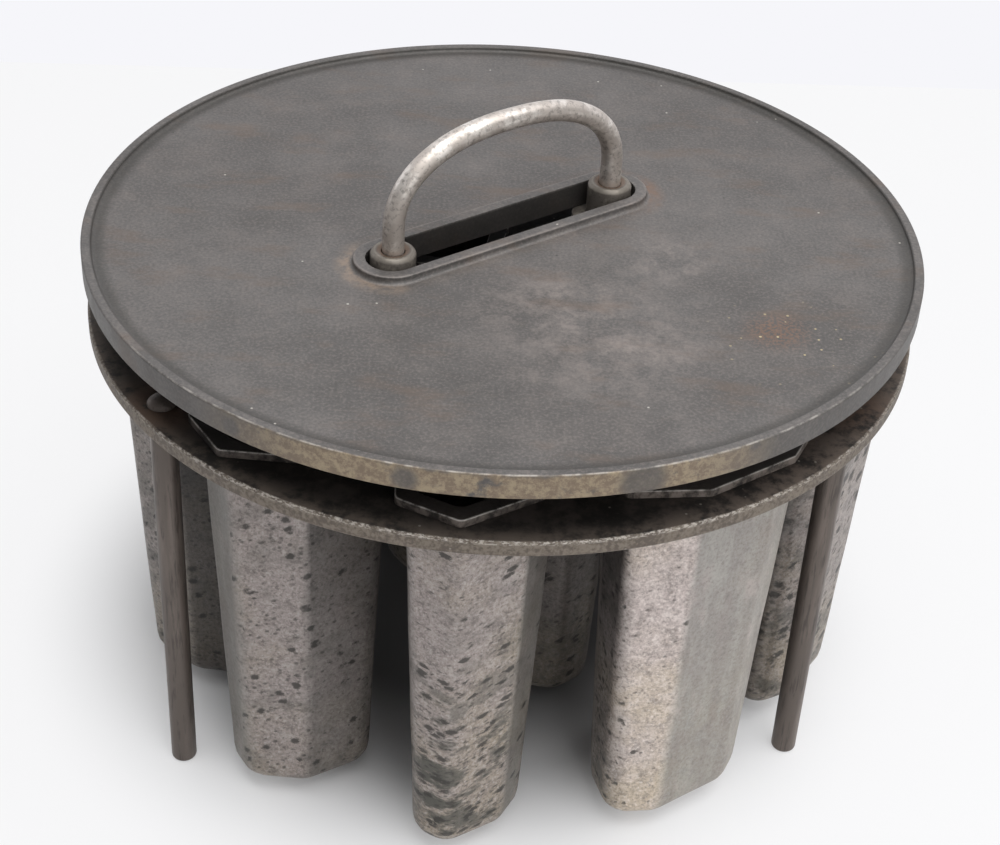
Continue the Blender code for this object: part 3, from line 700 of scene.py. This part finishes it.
rodSteel = {
    # grain stretches the patterns along X, Y and Z; flecks is how strong the dark ones are
    "handle": {"skin": "c8bfb7", "light": "ece5de", "dark": "8d857f", "rust": "8b7863",
               "metallic": 0.65, "roughness": (0.48, 0.32), "grain": (1.0, 1.0, 1.0), "flecks": 0.6},
    "leg": {"skin": "685f59", "light": "796e67", "dark": "4a433f", "rust": "675345",
            "metallic": 0.4, "roughness": (0.56, 0.4), "grain": (1.0, 1.0, 0.1), "flecks": 0.7},
    "post": {"skin": "645e58", "light": "8a8379", "dark": "45403b", "rust": "6b5747",
             "metallic": 0.4, "roughness": (0.52, 0.36), "grain": (1.0, 1.0, 1.0), "flecks": 0.6},
    "fastener": {"skin": "6d655f", "light": "8b827a", "dark": "4a433e", "rust": "745b49",
                 "metallic": 0.4, "roughness": (0.6, 0.44), "grain": (1.0, 1.0, 1.0), "flecks": 0.6},
}
rodNoises = {"blotch": (8.0, 6.0, 0.65), "fine": (1.5, 4.0, 0.6)}
rodSpecks = (2.4, 0.12, 0.3, 0.15)


def makeRodSteel(kind):
    # Mild steel bar, drawn and then bent, turned or hammered: a dull grey-brown skin with
    # small rust flecks, brighter where hands rub it
    look = rodSteel[kind]
    material, tree, shader, coords = startFinish(kind + "Steel", look["metallic"])
    drawn = addNode(tree, "ShaderNodeMapping", {"Vector": coords, "Scale": look["grain"]}).outputs["Vector"]
    noises = noisePatterns(tree, drawn, rodNoises)
    blotch, fine = noises["blotch"], noises["fine"]
    colour = coat(tree, look["skin"], look["light"], (blotch, 0.46, 0.66))
    colour = coat(tree, colour, look["dark"], (fine, 0.5, 0.34), look["flecks"])
    colour = coat(tree, colour, look["rust"], flecks(tree, drawn, *rodSpecks, (fine, 0.4)), 0.8)
    if kind == "post":
        # rust in the ring round the rod, and a rubbed rim
        for place in postPlaces().values():
            away = addNode(tree, "ShaderNodeVectorMath", {0: coords, 1: place / mm}, operation="SUBTRACT")
            x, y, z, radius = axes(tree, away.outputs["Vector"])
            onTop = softMask(tree, (z, mould["collarTop"], mould["collarTop"] + 1.4))
            colour = coat(tree, colour, look["rust"], (radius, 5.3, 6.4, 1.0, 0.0), onTop, 0.85)
            colour = coat(tree, colour, look["light"], (radius, 6.0, 6.6), (radius, 7.8, 8.4, 1.0, 0.0),
                          onTop, 0.6)
    endFinish(tree, shader, colour, (blotch, 0.3, 0.7, *look["roughness"]), (blotch, 0.12), (fine, 0.05))
    return material


print("finishes")
greyIron = makeLidIron()
brownIron = makePlateIron()
steels = {kind: makeRodSteel(kind) for kind in rodSteel}


# The lid

def makeLid():
    part = lidPiece
    radius, low, top = mould["lidRadius"], mould["lidUnder"], mould["lidTop"]
    edge, fillet, steps = part["edge"], part["beadFillet"], part["bendSteps"]
    beadTop, collarTop = top + mould["beadRise"], mould["collarTop"]
    beadInside = radius - part["beadWidth"]
    rise, bend = mould["beadRise"] - edge, (edge, edge)
    profile = [(0.0, top), (beadInside - fillet - part["flatRing"], top)]
    profile += arc((beadInside - fillet, top + rise), (fillet, rise), -90, 0, steps)
    profile += arc((beadInside + edge, beadTop - edge), bend, 180, 90, steps)[1:]
    profile += arc((radius - edge, beadTop - edge), bend, 90, 0, steps)
    profile += arc((radius - edge, low + edge), bend, 0, -90, steps)
    hollow, web = radius - part["rimWidth"], top - part["web"]
    profile += [(hollow, low), (hollow - part["drawIn"], web), (0.0, web)]
    bm = spunSolid(profile, part["segments"])
    lid = finishPiece("lidCasting", bm, greyIron, "lid", ["lid"])

    # the collar goes right through the lid, with a fillet at its foot and a round top edge
    wall, foot, bead, lap = part["collarWall"], part["collarFoot"], part["collarEdge"], part["collarLap"]
    outline = [(wall, low), (wall, web + lap), (wall + foot, top - lap)]
    outline += arc((wall + foot, top + part["collarProud"] + foot), (foot, foot), -90, -180, steps)
    outline += arc((wall - bead, collarTop - bead), (bead, bead), 0, 90, steps)
    rings = [slotRing(outset, height) for outset, height in outline]
    combineWith(lid, stackedSolid(rings)[0], "UNION")

    # the slot, whose own edge is a little rounded at the top
    slotEdge, past = part["slotEdge"], mould["toolPast"]
    outline = [(0.0, low - past), (0.0, collarTop - slotEdge),
               (0.3 * slotEdge, collarTop - 0.3 * slotEdge), (slotEdge, collarTop),
               (slotEdge, collarTop + past)]
    rings = [slotRing(outset, height) for outset, height in outline]
    combineWith(lid, stackedSolid(rings)[0], "DIFFERENCE")
    shadeByAngle(lid.data, mould["castAngle"])
    keepFlatsFlat(lid)
    print("lid", len(lid.data.polygons))


# The cups

plainCup = {
    # how light the whole cup is: the tin's tone and painted light together
    "lightness": 0.92,
    "spotSize": 7.0,            # of the dark spots
    "squeeze": 1.5,             # how flat the spots are
    "slant": 0.3,               # how steeply they run away from a line down the cup
    "middle": -60.0,            # that line, sideways from the cup's middle
    "crowd": 0.4,               # how much they keep to the foot
    # by a side's number from the front left one: its lightness, which is tone and painted light
    # and shade, darkest on sides facing a neighbouring cup or in another cup's shadow, how grey
    # and smooth it is, and how spotted
    "sides": {0: (1.0, 0.1, 0.45), 1: (1.02, 0.1, 0.3), 2: (0.84, 0.6, 0.2), 7: (0.8, 0.4, 0.35)},
}
plainSide = (0.72, 0.35, 0.3)
# what differs on the cups at the front
cupLooks = {
    "outer_cup_01": {
        "lightness": 0.94, "squeeze": 2.0, "middle": -11.0, "crowd": 0.9,
        "sides": {0: (0.97, 0.0, 0.95), 1: (1.04, 0.0, 0.8), 2: (0.78, 0.75, 0.1)}},
    "outer_cup_02": {
        "lightness": 1.45, "spotSize": 5.0, "squeeze": 1.3, "slant": 0.2, "crowd": 0.2,
        "sides": {7: (0.5, 0.1, 0.8), 0: (1.08, 0.0, 0.08), 1: (0.93, 0.85, 0.0), 2: (1.05, 0.8, 0.0)}},
    "outer_cup_03": {
        "lightness": 1.05, "spotSize": 8.0, "squeeze": 1.2, "crowd": 0.3,
        "sides": {6: (0.3, 0.2, 0.9), 7: (0.34, 0.2, 0.9), 0: (1.04, 0.1, 0.95), 1: (1.0, 0.2, 0.8)}},
    "outer_cup_09": {
        "lightness": 0.8, "spotSize": 6.0, "squeeze": 1.4,
        "sides": {0: (0.95, 0.2, 0.65), 1: (0.9, 0.2, 0.7), 2: (0.36, 0.2, 0.5), 3: (0.36, 0.2, 0.5)}},
    "outer_cup_10": {
        "lightness": 0.84, "spotSize": 5.5, "squeeze": 1.2, "slant": 0.22, "crowd": 0.25,
        "sides": {0: (0.92, 0.85, 0.0), 1: (1.03, 0.0, 0.55), 2: (0.7, 0.35, 0.35)}},
}


def cupLevels():
    # Inset, height, corner radius and wear of each ring, from outside the bottom to inside it
    part = cupPiece
    top, low = mould["plateTop"], sizeOf("outer_cup_01", 0, 2)
    slope = part["drawIn"] / (top - low)
    under = top + mould["air"]
    flangeTop = top + part["flangeHeight"]
    edge = part["flangeEdge"]

    def wall(atTop, base, bend, highest):
        first = base + bend
        centre = (atTop + slope * (top - first) + bend, first)
        levels = [(inset, height, part["footCorner"], 0.0)
                  for inset, height in arc(centre, (bend, bend), -90, -180, part["bendSteps"])]
        for step in range(1, part["wallSteps"] + 1):
            share = step / part["wallSteps"]
            height = first + (highest - first) * share
            corner = part["footCorner"] + (part["wallCorner"] - part["footCorner"]) * share
            levels.append((atTop + slope * max(0.0, top - height), height, corner, 0.0))
        return levels

    corner, inside = part["flangeCorner"], part["overhang"] + part["wall"]
    levels = wall(part["overhang"], low, part["bottomBend"], under)
    levels += [(0.0, under, corner, 0.0), (0.0, flangeTop - edge, corner, 0.3),
               (edge * 0.3, flangeTop - edge * 0.3, corner, 1.0), (edge, flangeTop, corner, 0.5),
               (edge + 0.3, flangeTop, corner, 0.0), (inside - edge, flangeTop, part["wallCorner"], 0.0),
               (inside, flangeTop - edge, part["wallCorner"], 0.3)]
    levels += reversed(wall(inside, low + part["wall"], part["bottomBend"] - part["wall"], top))
    return levels


def makeCups():
    part = cupPiece
    steps, splits = part["cornerSteps"], part["sideSplits"]
    levels = cupLevels()
    for number, (node, corners, turned) in enumerate(cupPlaces(), 1):
        look = {**plainCup, **cupLooks.get(node, {})}
        rings = [cornerArcs(corners, inset, bend, steps, splits, turned, height)
                 for inset, height, bend, wear in levels]
        bm = bmesh.new()
        faceLook = bm.verts.layers.float_color.new("faceLook")
        worn = bm.verts.layers.float.new("worn")
        bm, loops = stackedSolid(rings, bm)
        # each side's own look with its painted light and shade, blended round the corners, and the rubbed
        # corners and rim
        for loop, (inset, height, bend, wear) in zip(loops, levels):
            onWall = height < mould["plateTop"]
            for spot, vert in enumerate(loop):
                side, step = divmod(spot, steps + splits)
                share = min(1.0, step / steps)
                before = Vector(look["sides"].get((side - 1) % len(corners), plainSide))
                after = Vector(look["sides"].get(side, plainSide))
                vert[faceLook] = (*before.lerp(after, share), 1.0)
                vert[worn] = max(wear, part["cornerWear"] * (1 - abs(2 * share - 1)) if onWall else 0.0)
        unevenSkin(bm, part["unevenDepth"], part["unevenSize"], number, mould["plateUnder"] - 2.0)
        tin = makeCupTin("tinnedCup" + str(number), number, turned, look)
        cup = finishPiece("tinned_" + node, bm, tin, "mould_base", [node])
        keepFlatsFlat(cup)
    print("cups", number)


# The base plate

platePiece = {"edge": 0.9, "flatRing": 2.0, "spigotHole": 3.5, "rodHole": 4.25,
              "segments": 256, "bendSteps": 5}


def makePlate():
    part = platePiece
    radius, top, low = mould["plateRadius"], mould["plateTop"], mould["plateUnder"]
    edge, steps = part["edge"], part["bendSteps"]
    profile = [(0.0, top), (radius - edge - part["flatRing"], top)]
    profile += arc((radius - edge, top - edge), (edge, edge), 90, 0, steps)
    profile += arc((radius - edge, low + edge), (edge, edge), 0, -90, steps)
    profile.append((0.0, low))
    bm = spunSolid(profile, part["segments"])
    plate = finishPiece("plateCasting", bm, brownIron, "mould_base", ["base_plate"])
    holes = bmesh.new()
    inset = cupPiece["overhang"] - cupPiece["holeClearance"]
    bend, steps = cupPiece["wallCorner"], cupPiece["cornerSteps"]
    for node, corners, turned in cupPlaces():
        rings = [cornerArcs(corners, inset, bend, steps, 1, turned, height)
                 for height in (low - mould["toolPast"], top + mould["toolPast"])]
        stackedSolid(rings, holes)
    combineWith(plate, holes, "DIFFERENCE")
    for angle, fromEdge in legPlaces:
        place = aroundAxis(angle, radius - fromEdge)
        combineWith(plate, drill(part["spigotHole"], low, top, place), "DIFFERENCE")
    for place in postPlaces().values():
        combineWith(plate, drill(part["rodHole"], low, top, place), "DIFFERENCE")
    shadeByAngle(plate.data, mould["castAngle"])
    keepFlatsFlat(plate)
    print("plate", len(plate.data.polygons))


# The bail handle

handlePiece = {"crown": 44.4, "shoulder": 13.4, "squareness": 2.3, "bendPoints": 72, "endPoints": 24,
               "roundPoints": 8, "belowNut": 2.5, "washer": 1.6, "nut": 6.5,
               "unevenDepth": 0.16, "unevenSize": 14.0}


def makeHandle():
    part = handlePiece
    end = mould["plateUnder"] - 2 * mould["air"] - part["washer"] - part["nut"] - part["belowNut"]
    shoulder = mould["lidTop"] + part["shoulder"]
    half, points, power = mould["handleSpan"] / 2, part["endPoints"], 2 / part["squareness"]
    route = [(-half, end + (shoulder - end) * step / points) for step in range(points)]
    for step in range(part["bendPoints"] + 1):
        turned = math.pi * (1 - step / part["bendPoints"])
        along = math.copysign(abs(math.cos(turned)) ** power, math.cos(turned))
        height = (part["crown"] - part["shoulder"]) * abs(math.sin(turned)) ** power
        route.append((half * along, shoulder + height))
    route += [(half, shoulder + (end - shoulder) * step / points) for step in range(1, points + 1)]
    curve = bpy.data.curves.new("rodCurve", "CURVE")
    curve.dimensions = "3D"
    curve.bevel_depth = mould["rodRadius"] * mm
    curve.bevel_resolution = part["roundPoints"]
    curve.use_fill_caps = True
    spline = curve.splines.new("POLY")
    spline.points.add(len(route) - 1)
    for point, (along, height) in zip(spline.points, route):
        point.co = (*aroundAxis(mould["handleAngle"], along, height), 1.0)
    rod = bpy.data.objects.new("rodCurve", curve)
    bpy.context.scene.collection.objects.link(rod)
    bpy.context.view_layer.update()
    graph = bpy.context.evaluated_depsgraph_get()
    bm = bmesh.new()
    bm.from_mesh(bpy.data.meshes.new_from_object(rod.evaluated_get(graph)))
    bpy.data.objects.remove(rod)
    bmesh.ops.remove_doubles(bm, verts=bm.verts[:], dist=1e-6)
    bmesh.ops.recalc_face_normals(bm, faces=bm.faces[:])
    unevenSkin(bm, -part["unevenDepth"], part["unevenSize"], 3)
    finishPiece("bentRod", bm, steels["handle"], "mould_base", ["bail_handle"], 50)
    print("handle", len(route))


# Posts, washers and nuts

postPiece = {"foot": 13.5, "chamfer": 1.3, "footChamfer": 0.8, "fillet": 0.8, "aboveCollar": 3.0,
             "bore": 4.25, "washerRadius": 9.5, "acrossFlats": 12.7, "nutChamfer": (1.0, 0.6),
             "segments": 72, "nutSegments": 96}


def makePosts():
    part = postPiece
    air, bore, fillet = mould["air"], part["bore"], part["fillet"]
    low, seat = mould["plateTop"] + air, mould["lidUnder"] - air
    top = mould["collarTop"] + part["aboveCollar"]
    neck, foot, chamfer, step = mould["neckRadius"], part["foot"], part["chamfer"], part["footChamfer"]
    # from the bore's upper edge over the rim, down the neck, over the foot and back under it
    sleeve = [(bore, top - 0.5), (bore + 0.5, top - 0.15), (neck - chamfer - 0.5, top),
              (neck - chamfer, top - 0.05), (neck - 0.5 * chamfer, top - 0.4 * chamfer),
              (neck - 0.1, top - chamfer), (neck, top - chamfer - 0.3), (neck, seat + fillet),
              (neck + 0.3, seat + 0.2), (neck + fillet, seat), (foot - step, seat),
              (foot - 0.2, seat - 0.3), (foot, seat - step), (foot, low + step), (foot - step, low),
              (bore, low)]
    under, rim = mould["plateUnder"] - air, part["washerRadius"]
    washerLow = under - handlePiece["washer"]
    disc = [(bore, under), (rim - 0.2, under), (rim, under - 0.3), (rim, washerLow + 0.3),
            (rim - 0.4, washerLow), (bore, washerLow)]
    nutHigh = washerLow - air
    nutLow = nutHigh - handlePiece["nut"]
    corner = part["acrossFlats"] / 2 / math.cos(math.pi / 6)
    across, down = part["nutChamfer"]
    turnedOff = [(0.0, nutHigh), (corner - across, nutHigh), (corner, nutHigh - down),
                 (corner, nutLow + down), (corner - across, nutLow), (0.0, nutLow)]
    for end, place in postPlaces().items():
        bm = spunSolid(sleeve, part["segments"], place)
        finishPiece(end + "Sleeve", bm, steels["post"], "mould_base",
                    [end + "_handle_post"], 30)
        bm = spunSolid(disc, part["segments"], place)
        finishPiece(end + "Washer", bm, steels["fastener"], "mould_base",
                    [end + "_handle_washer"], 30)
        # a hexagon whose corners are turned off at both ends
        bm = bmesh.new()
        bmesh.ops.create_cone(bm, cap_ends=True, segments=6, radius1=corner * mm, radius2=corner * mm,
                              depth=handlePiece["nut"] * mm)
        bmesh.ops.rotate(bm, verts=bm.verts[:], cent=(0, 0, 0),
                         matrix=Matrix.Rotation(math.radians(mould["handleAngle"]), 3, "Z"))
        bmesh.ops.translate(bm, verts=bm.verts[:], vec=place + Vector((0, 0, (nutLow + nutHigh) / 2 * mm)))
        nut = finishPiece(end + "Nut", bm, steels["fastener"], "mould_base",
                          [end + "_handle_nut"], 25)
        combineWith(nut, spunSolid(turnedOff, part["nutSegments"], place), "INTERSECT")
        combineWith(nut, drill(bore, nutLow, nutHigh, place), "DIFFERENCE")
        shadeByAngle(nut.data, 20)
    print("posts, washers and nuts")


# The legs

legPiece = {"radius": 4.75, "spigot": 3.2, "endRound": 1.9, "shoulderEdge": 0.4, "head": 5.1,
            "headHeight": 3.4, "headEdge": 0.6, "headChamfer": 0.2, "roundSteps": 8, "rodSteps": 24,
            "segments": 48, "headLumps": (0.45, 4.5), "rodLumps": (0.08, 11.0)}    # their depth and size


def makeLegs():
    part = legPiece
    seat = mould["plateTop"] + mould["air"]
    shoulder = mould["plateUnder"] - mould["air"]
    rod, head, end, edge = part["radius"], part["head"], part["endRound"], part["shoulderEdge"]
    chamfer, rows = part["headChamfer"], part["rodSteps"]
    dome = part["headHeight"] - part["headEdge"]
    profile = arc((0.0, seat + part["headEdge"]), (head, dome), 90, 0, part["roundSteps"])
    profile[0] = (0.0, profile[0][1])
    profile += [(head, seat + chamfer), (head - chamfer, seat), (part["spigot"], seat),
                (part["spigot"], shoulder), (rod - edge, shoulder), (rod, shoulder - edge)]
    profile += [(rod, shoulder + (end - shoulder) * row / rows) for row in range(1, rows)]
    profile += arc((rod - end, end), (end, end), 0, -90, part["roundSteps"])
    profile.append((0.0, 0.0))
    for number, (angle, inset) in enumerate(legPlaces, 1):
        place = aroundAxis(angle, mould["plateRadius"] - inset)
        bm = spunSolid(profile, part["segments"], place)
        # the hammered head is lumpy, the rod only a little uneven, and its foot stays flat
        bm.normal_update()
        for vert in bm.verts:
            height = vert.co.z / mm
            onHead = height > seat + 0.5
            depth, size = part["headLumps" if onHead else "rodLumps"]
            if height > 1.5 and (onHead or height < shoulder - 1):
                vert.co += vert.normal * (noise.noise(vert.co / (size * mm)) - 0.4) * depth * mm
        finishPiece(f"rodLeg{number}", bm, steels["leg"], "mould_base", [f"leg_{number}"], 45)
    print("legs", number)


makeLid()
makeCups()
makePlate()
makeHandle()
makePosts()
makeLegs()


# The stage, in metres

stageLook = {"floor": "fafafb", "backdrop": "f6f6fa", "backdropUnlit": "8c8c8e", "floorSize": 6.0,
             "wallDistance": 0.519, "wallTurn": 2.46, "floorGlow": 0.88, "shadowPlace": (0.01, -0.013),
             "plainFrom": (0.1, 0.19), "deepFrom": (0.055, 0.1), "deepShade": 0.75,
             "room": 0.22, "roomColour": "f7f8fa", "lampAim": (0, 0, 0.12)}


def makePaper(name):
    # Matt paper that shows its own colour to the eye, lit or not, and can't be seen from behind
    colour = linearColour(stageLook[name])
    unlit = linearColour(stageLook.get(name + "Unlit", stageLook[name]))
    material = bpy.data.materials.new(name + "Paper")
    material.use_nodes = True
    tree = material.node_tree
    tree.nodes.clear()
    rays = addNode(tree, "ShaderNodeLightPath").outputs
    seen = addNode(tree, "ShaderNodeMath", {0: rays["Is Camera Ray"], 1: rays["Is Glossy Ray"]},
                   operation="MAXIMUM").outputs["Value"]
    if name == "floor":
        # it keeps its shadow under the mould and is plain further out, and a painted shade that the
        # eye alone sees darkens it between the cups, so the light on the mould stays
        coords = addNode(tree, "ShaderNodeTexCoord").outputs["Object"]
        shift = (*stageLook["shadowPlace"], 0.0)
        coords = addNode(tree, "ShaderNodeMapping", {"Vector": coords, "Location": shift}).outputs["Vector"]
        away = axes(tree, coords)[3]
        seen = softMask(tree, seen, stageLook["floorGlow"], (away, *stageLook["plainFrom"]))
        deep = (away, *stageLook["deepFrom"], stageLook["deepShade"], 0.0)
        unlit = coat(tree, unlit, "000000", rays["Is Camera Ray"], deep)
    paper = addNode(tree, "ShaderNodeBsdfDiffuse", {"Color": unlit})
    glow = addNode(tree, "ShaderNodeEmission", {"Color": colour, "Strength": 1.0})
    mixed = addNode(tree, "ShaderNodeMixShader", {0: seen, 1: paper.outputs[0], 2: glow.outputs[0]})
    behind = addNode(tree, "ShaderNodeNewGeometry").outputs["Backfacing"]
    clear = addNode(tree, "ShaderNodeBsdfTransparent")
    mixed = addNode(tree, "ShaderNodeMixShader", {0: behind, 1: mixed.outputs[0], 2: clear.outputs[0]})
    addNode(tree, "ShaderNodeOutputMaterial", {"Surface": mixed.outputs[0]})
    return material


def makeStage():
    # A pale sheet under the mould and another behind it
    half = stageLook["floorSize"] / 2
    for name in ("floor", "backdrop"):
        bm = bmesh.new()
        made = bmesh.ops.create_grid(bm, x_segments=1, y_segments=1, size=half)["verts"]
        if name == "backdrop":
            bmesh.ops.rotate(bm, verts=made, cent=(0, 0, 0),
                             matrix=Matrix.Rotation(math.radians(90), 3, "X"))
            bmesh.ops.translate(bm, verts=made, vec=(0, stageLook["wallDistance"], half))
            bmesh.ops.rotate(bm, verts=made, cent=(0, 0, 0),
                             matrix=Matrix.Rotation(math.radians(stageLook["wallTurn"]), 3, "Z"))
        mesh = bpy.data.meshes.new(name)
        bm.to_mesh(mesh)
        bm.free()
        mesh.materials.append(makePaper(name))
        sheet = bpy.data.objects.new(name, mesh)
        bpy.context.scene.collection.objects.link(sheet)


lamps = {
    "above": {"place": (0.22, -0.2, 1.5), "size": 1.4, "power": 22.5},
    "front": {"place": (0.9, -1.35, 0.9), "size": 1.4, "power": 7.0},
}


def makeLights():
    for name, lamp in lamps.items():
        light = bpy.data.lights.new(name, "AREA")
        light.shape = "SQUARE"
        light.size = lamp["size"]
        light.energy = lamp["power"]
        holder = bpy.data.objects.new(name, light)
        holder.location = lamp["place"]
        aim = Vector(stageLook["lampAim"]) - Vector(lamp["place"])
        holder.rotation_euler = aim.to_track_quat("-Z", "Y").to_euler()
        bpy.context.scene.collection.objects.link(holder)
    # the room is dim as a light and pale to look at
    world = bpy.data.worlds.new("softRoom")
    world.use_nodes = True
    tree = world.node_tree
    background = tree.nodes["Background"]
    background.inputs["Color"].default_value = linearColour(stageLook["roomColour"])
    seen = addNode(tree, "ShaderNodeLightPath").outputs["Is Camera Ray"]
    strength = softMask(tree, (seen, 0.0, 1.0, stageLook["room"], 1.0))
    tree.links.new(strength, background.inputs["Strength"])
    bpy.context.scene.world = world


camera = {
    "place": (-11.06, -633.8, 557.5), "yaw": 1.217, "pitch": 35.67, "roll": 3.228,
    "focalPixels": 1990.4, "imageWidth": 1000, "sensor": 36.0,
}


def makeCamera():
    # Looks along yaw and down by pitch, then tips sideways by roll
    yaw, pitch, roll = (math.radians(camera[key]) for key in ("yaw", "pitch", "roll"))
    forward = Vector((math.sin(yaw) * math.cos(pitch), math.cos(yaw) * math.cos(pitch), -math.sin(pitch)))
    level = Vector((math.cos(yaw), -math.sin(yaw), 0.0))
    upright = level.cross(forward)
    right = level * math.cos(roll) + upright * math.sin(roll)
    up = upright * math.cos(roll) - level * math.sin(roll)
    lens = bpy.data.cameras.new("photoCamera")
    lens.sensor_width = camera["sensor"]
    lens.lens = camera["focalPixels"] / camera["imageWidth"] * camera["sensor"]
    holder = bpy.data.objects.new("photoCamera", lens)
    turned = Matrix((right, up, -forward)).transposed().to_4x4()
    holder.matrix_world = Matrix.Translation(Vector(camera["place"]) * mm) @ turned
    bpy.context.scene.collection.objects.link(holder)
    bpy.context.scene.camera = holder


makeStage()
makeLights()
makeCamera()
bpy.context.scene.view_settings.view_transform = "Standard"
print("stage, lamps and camera")
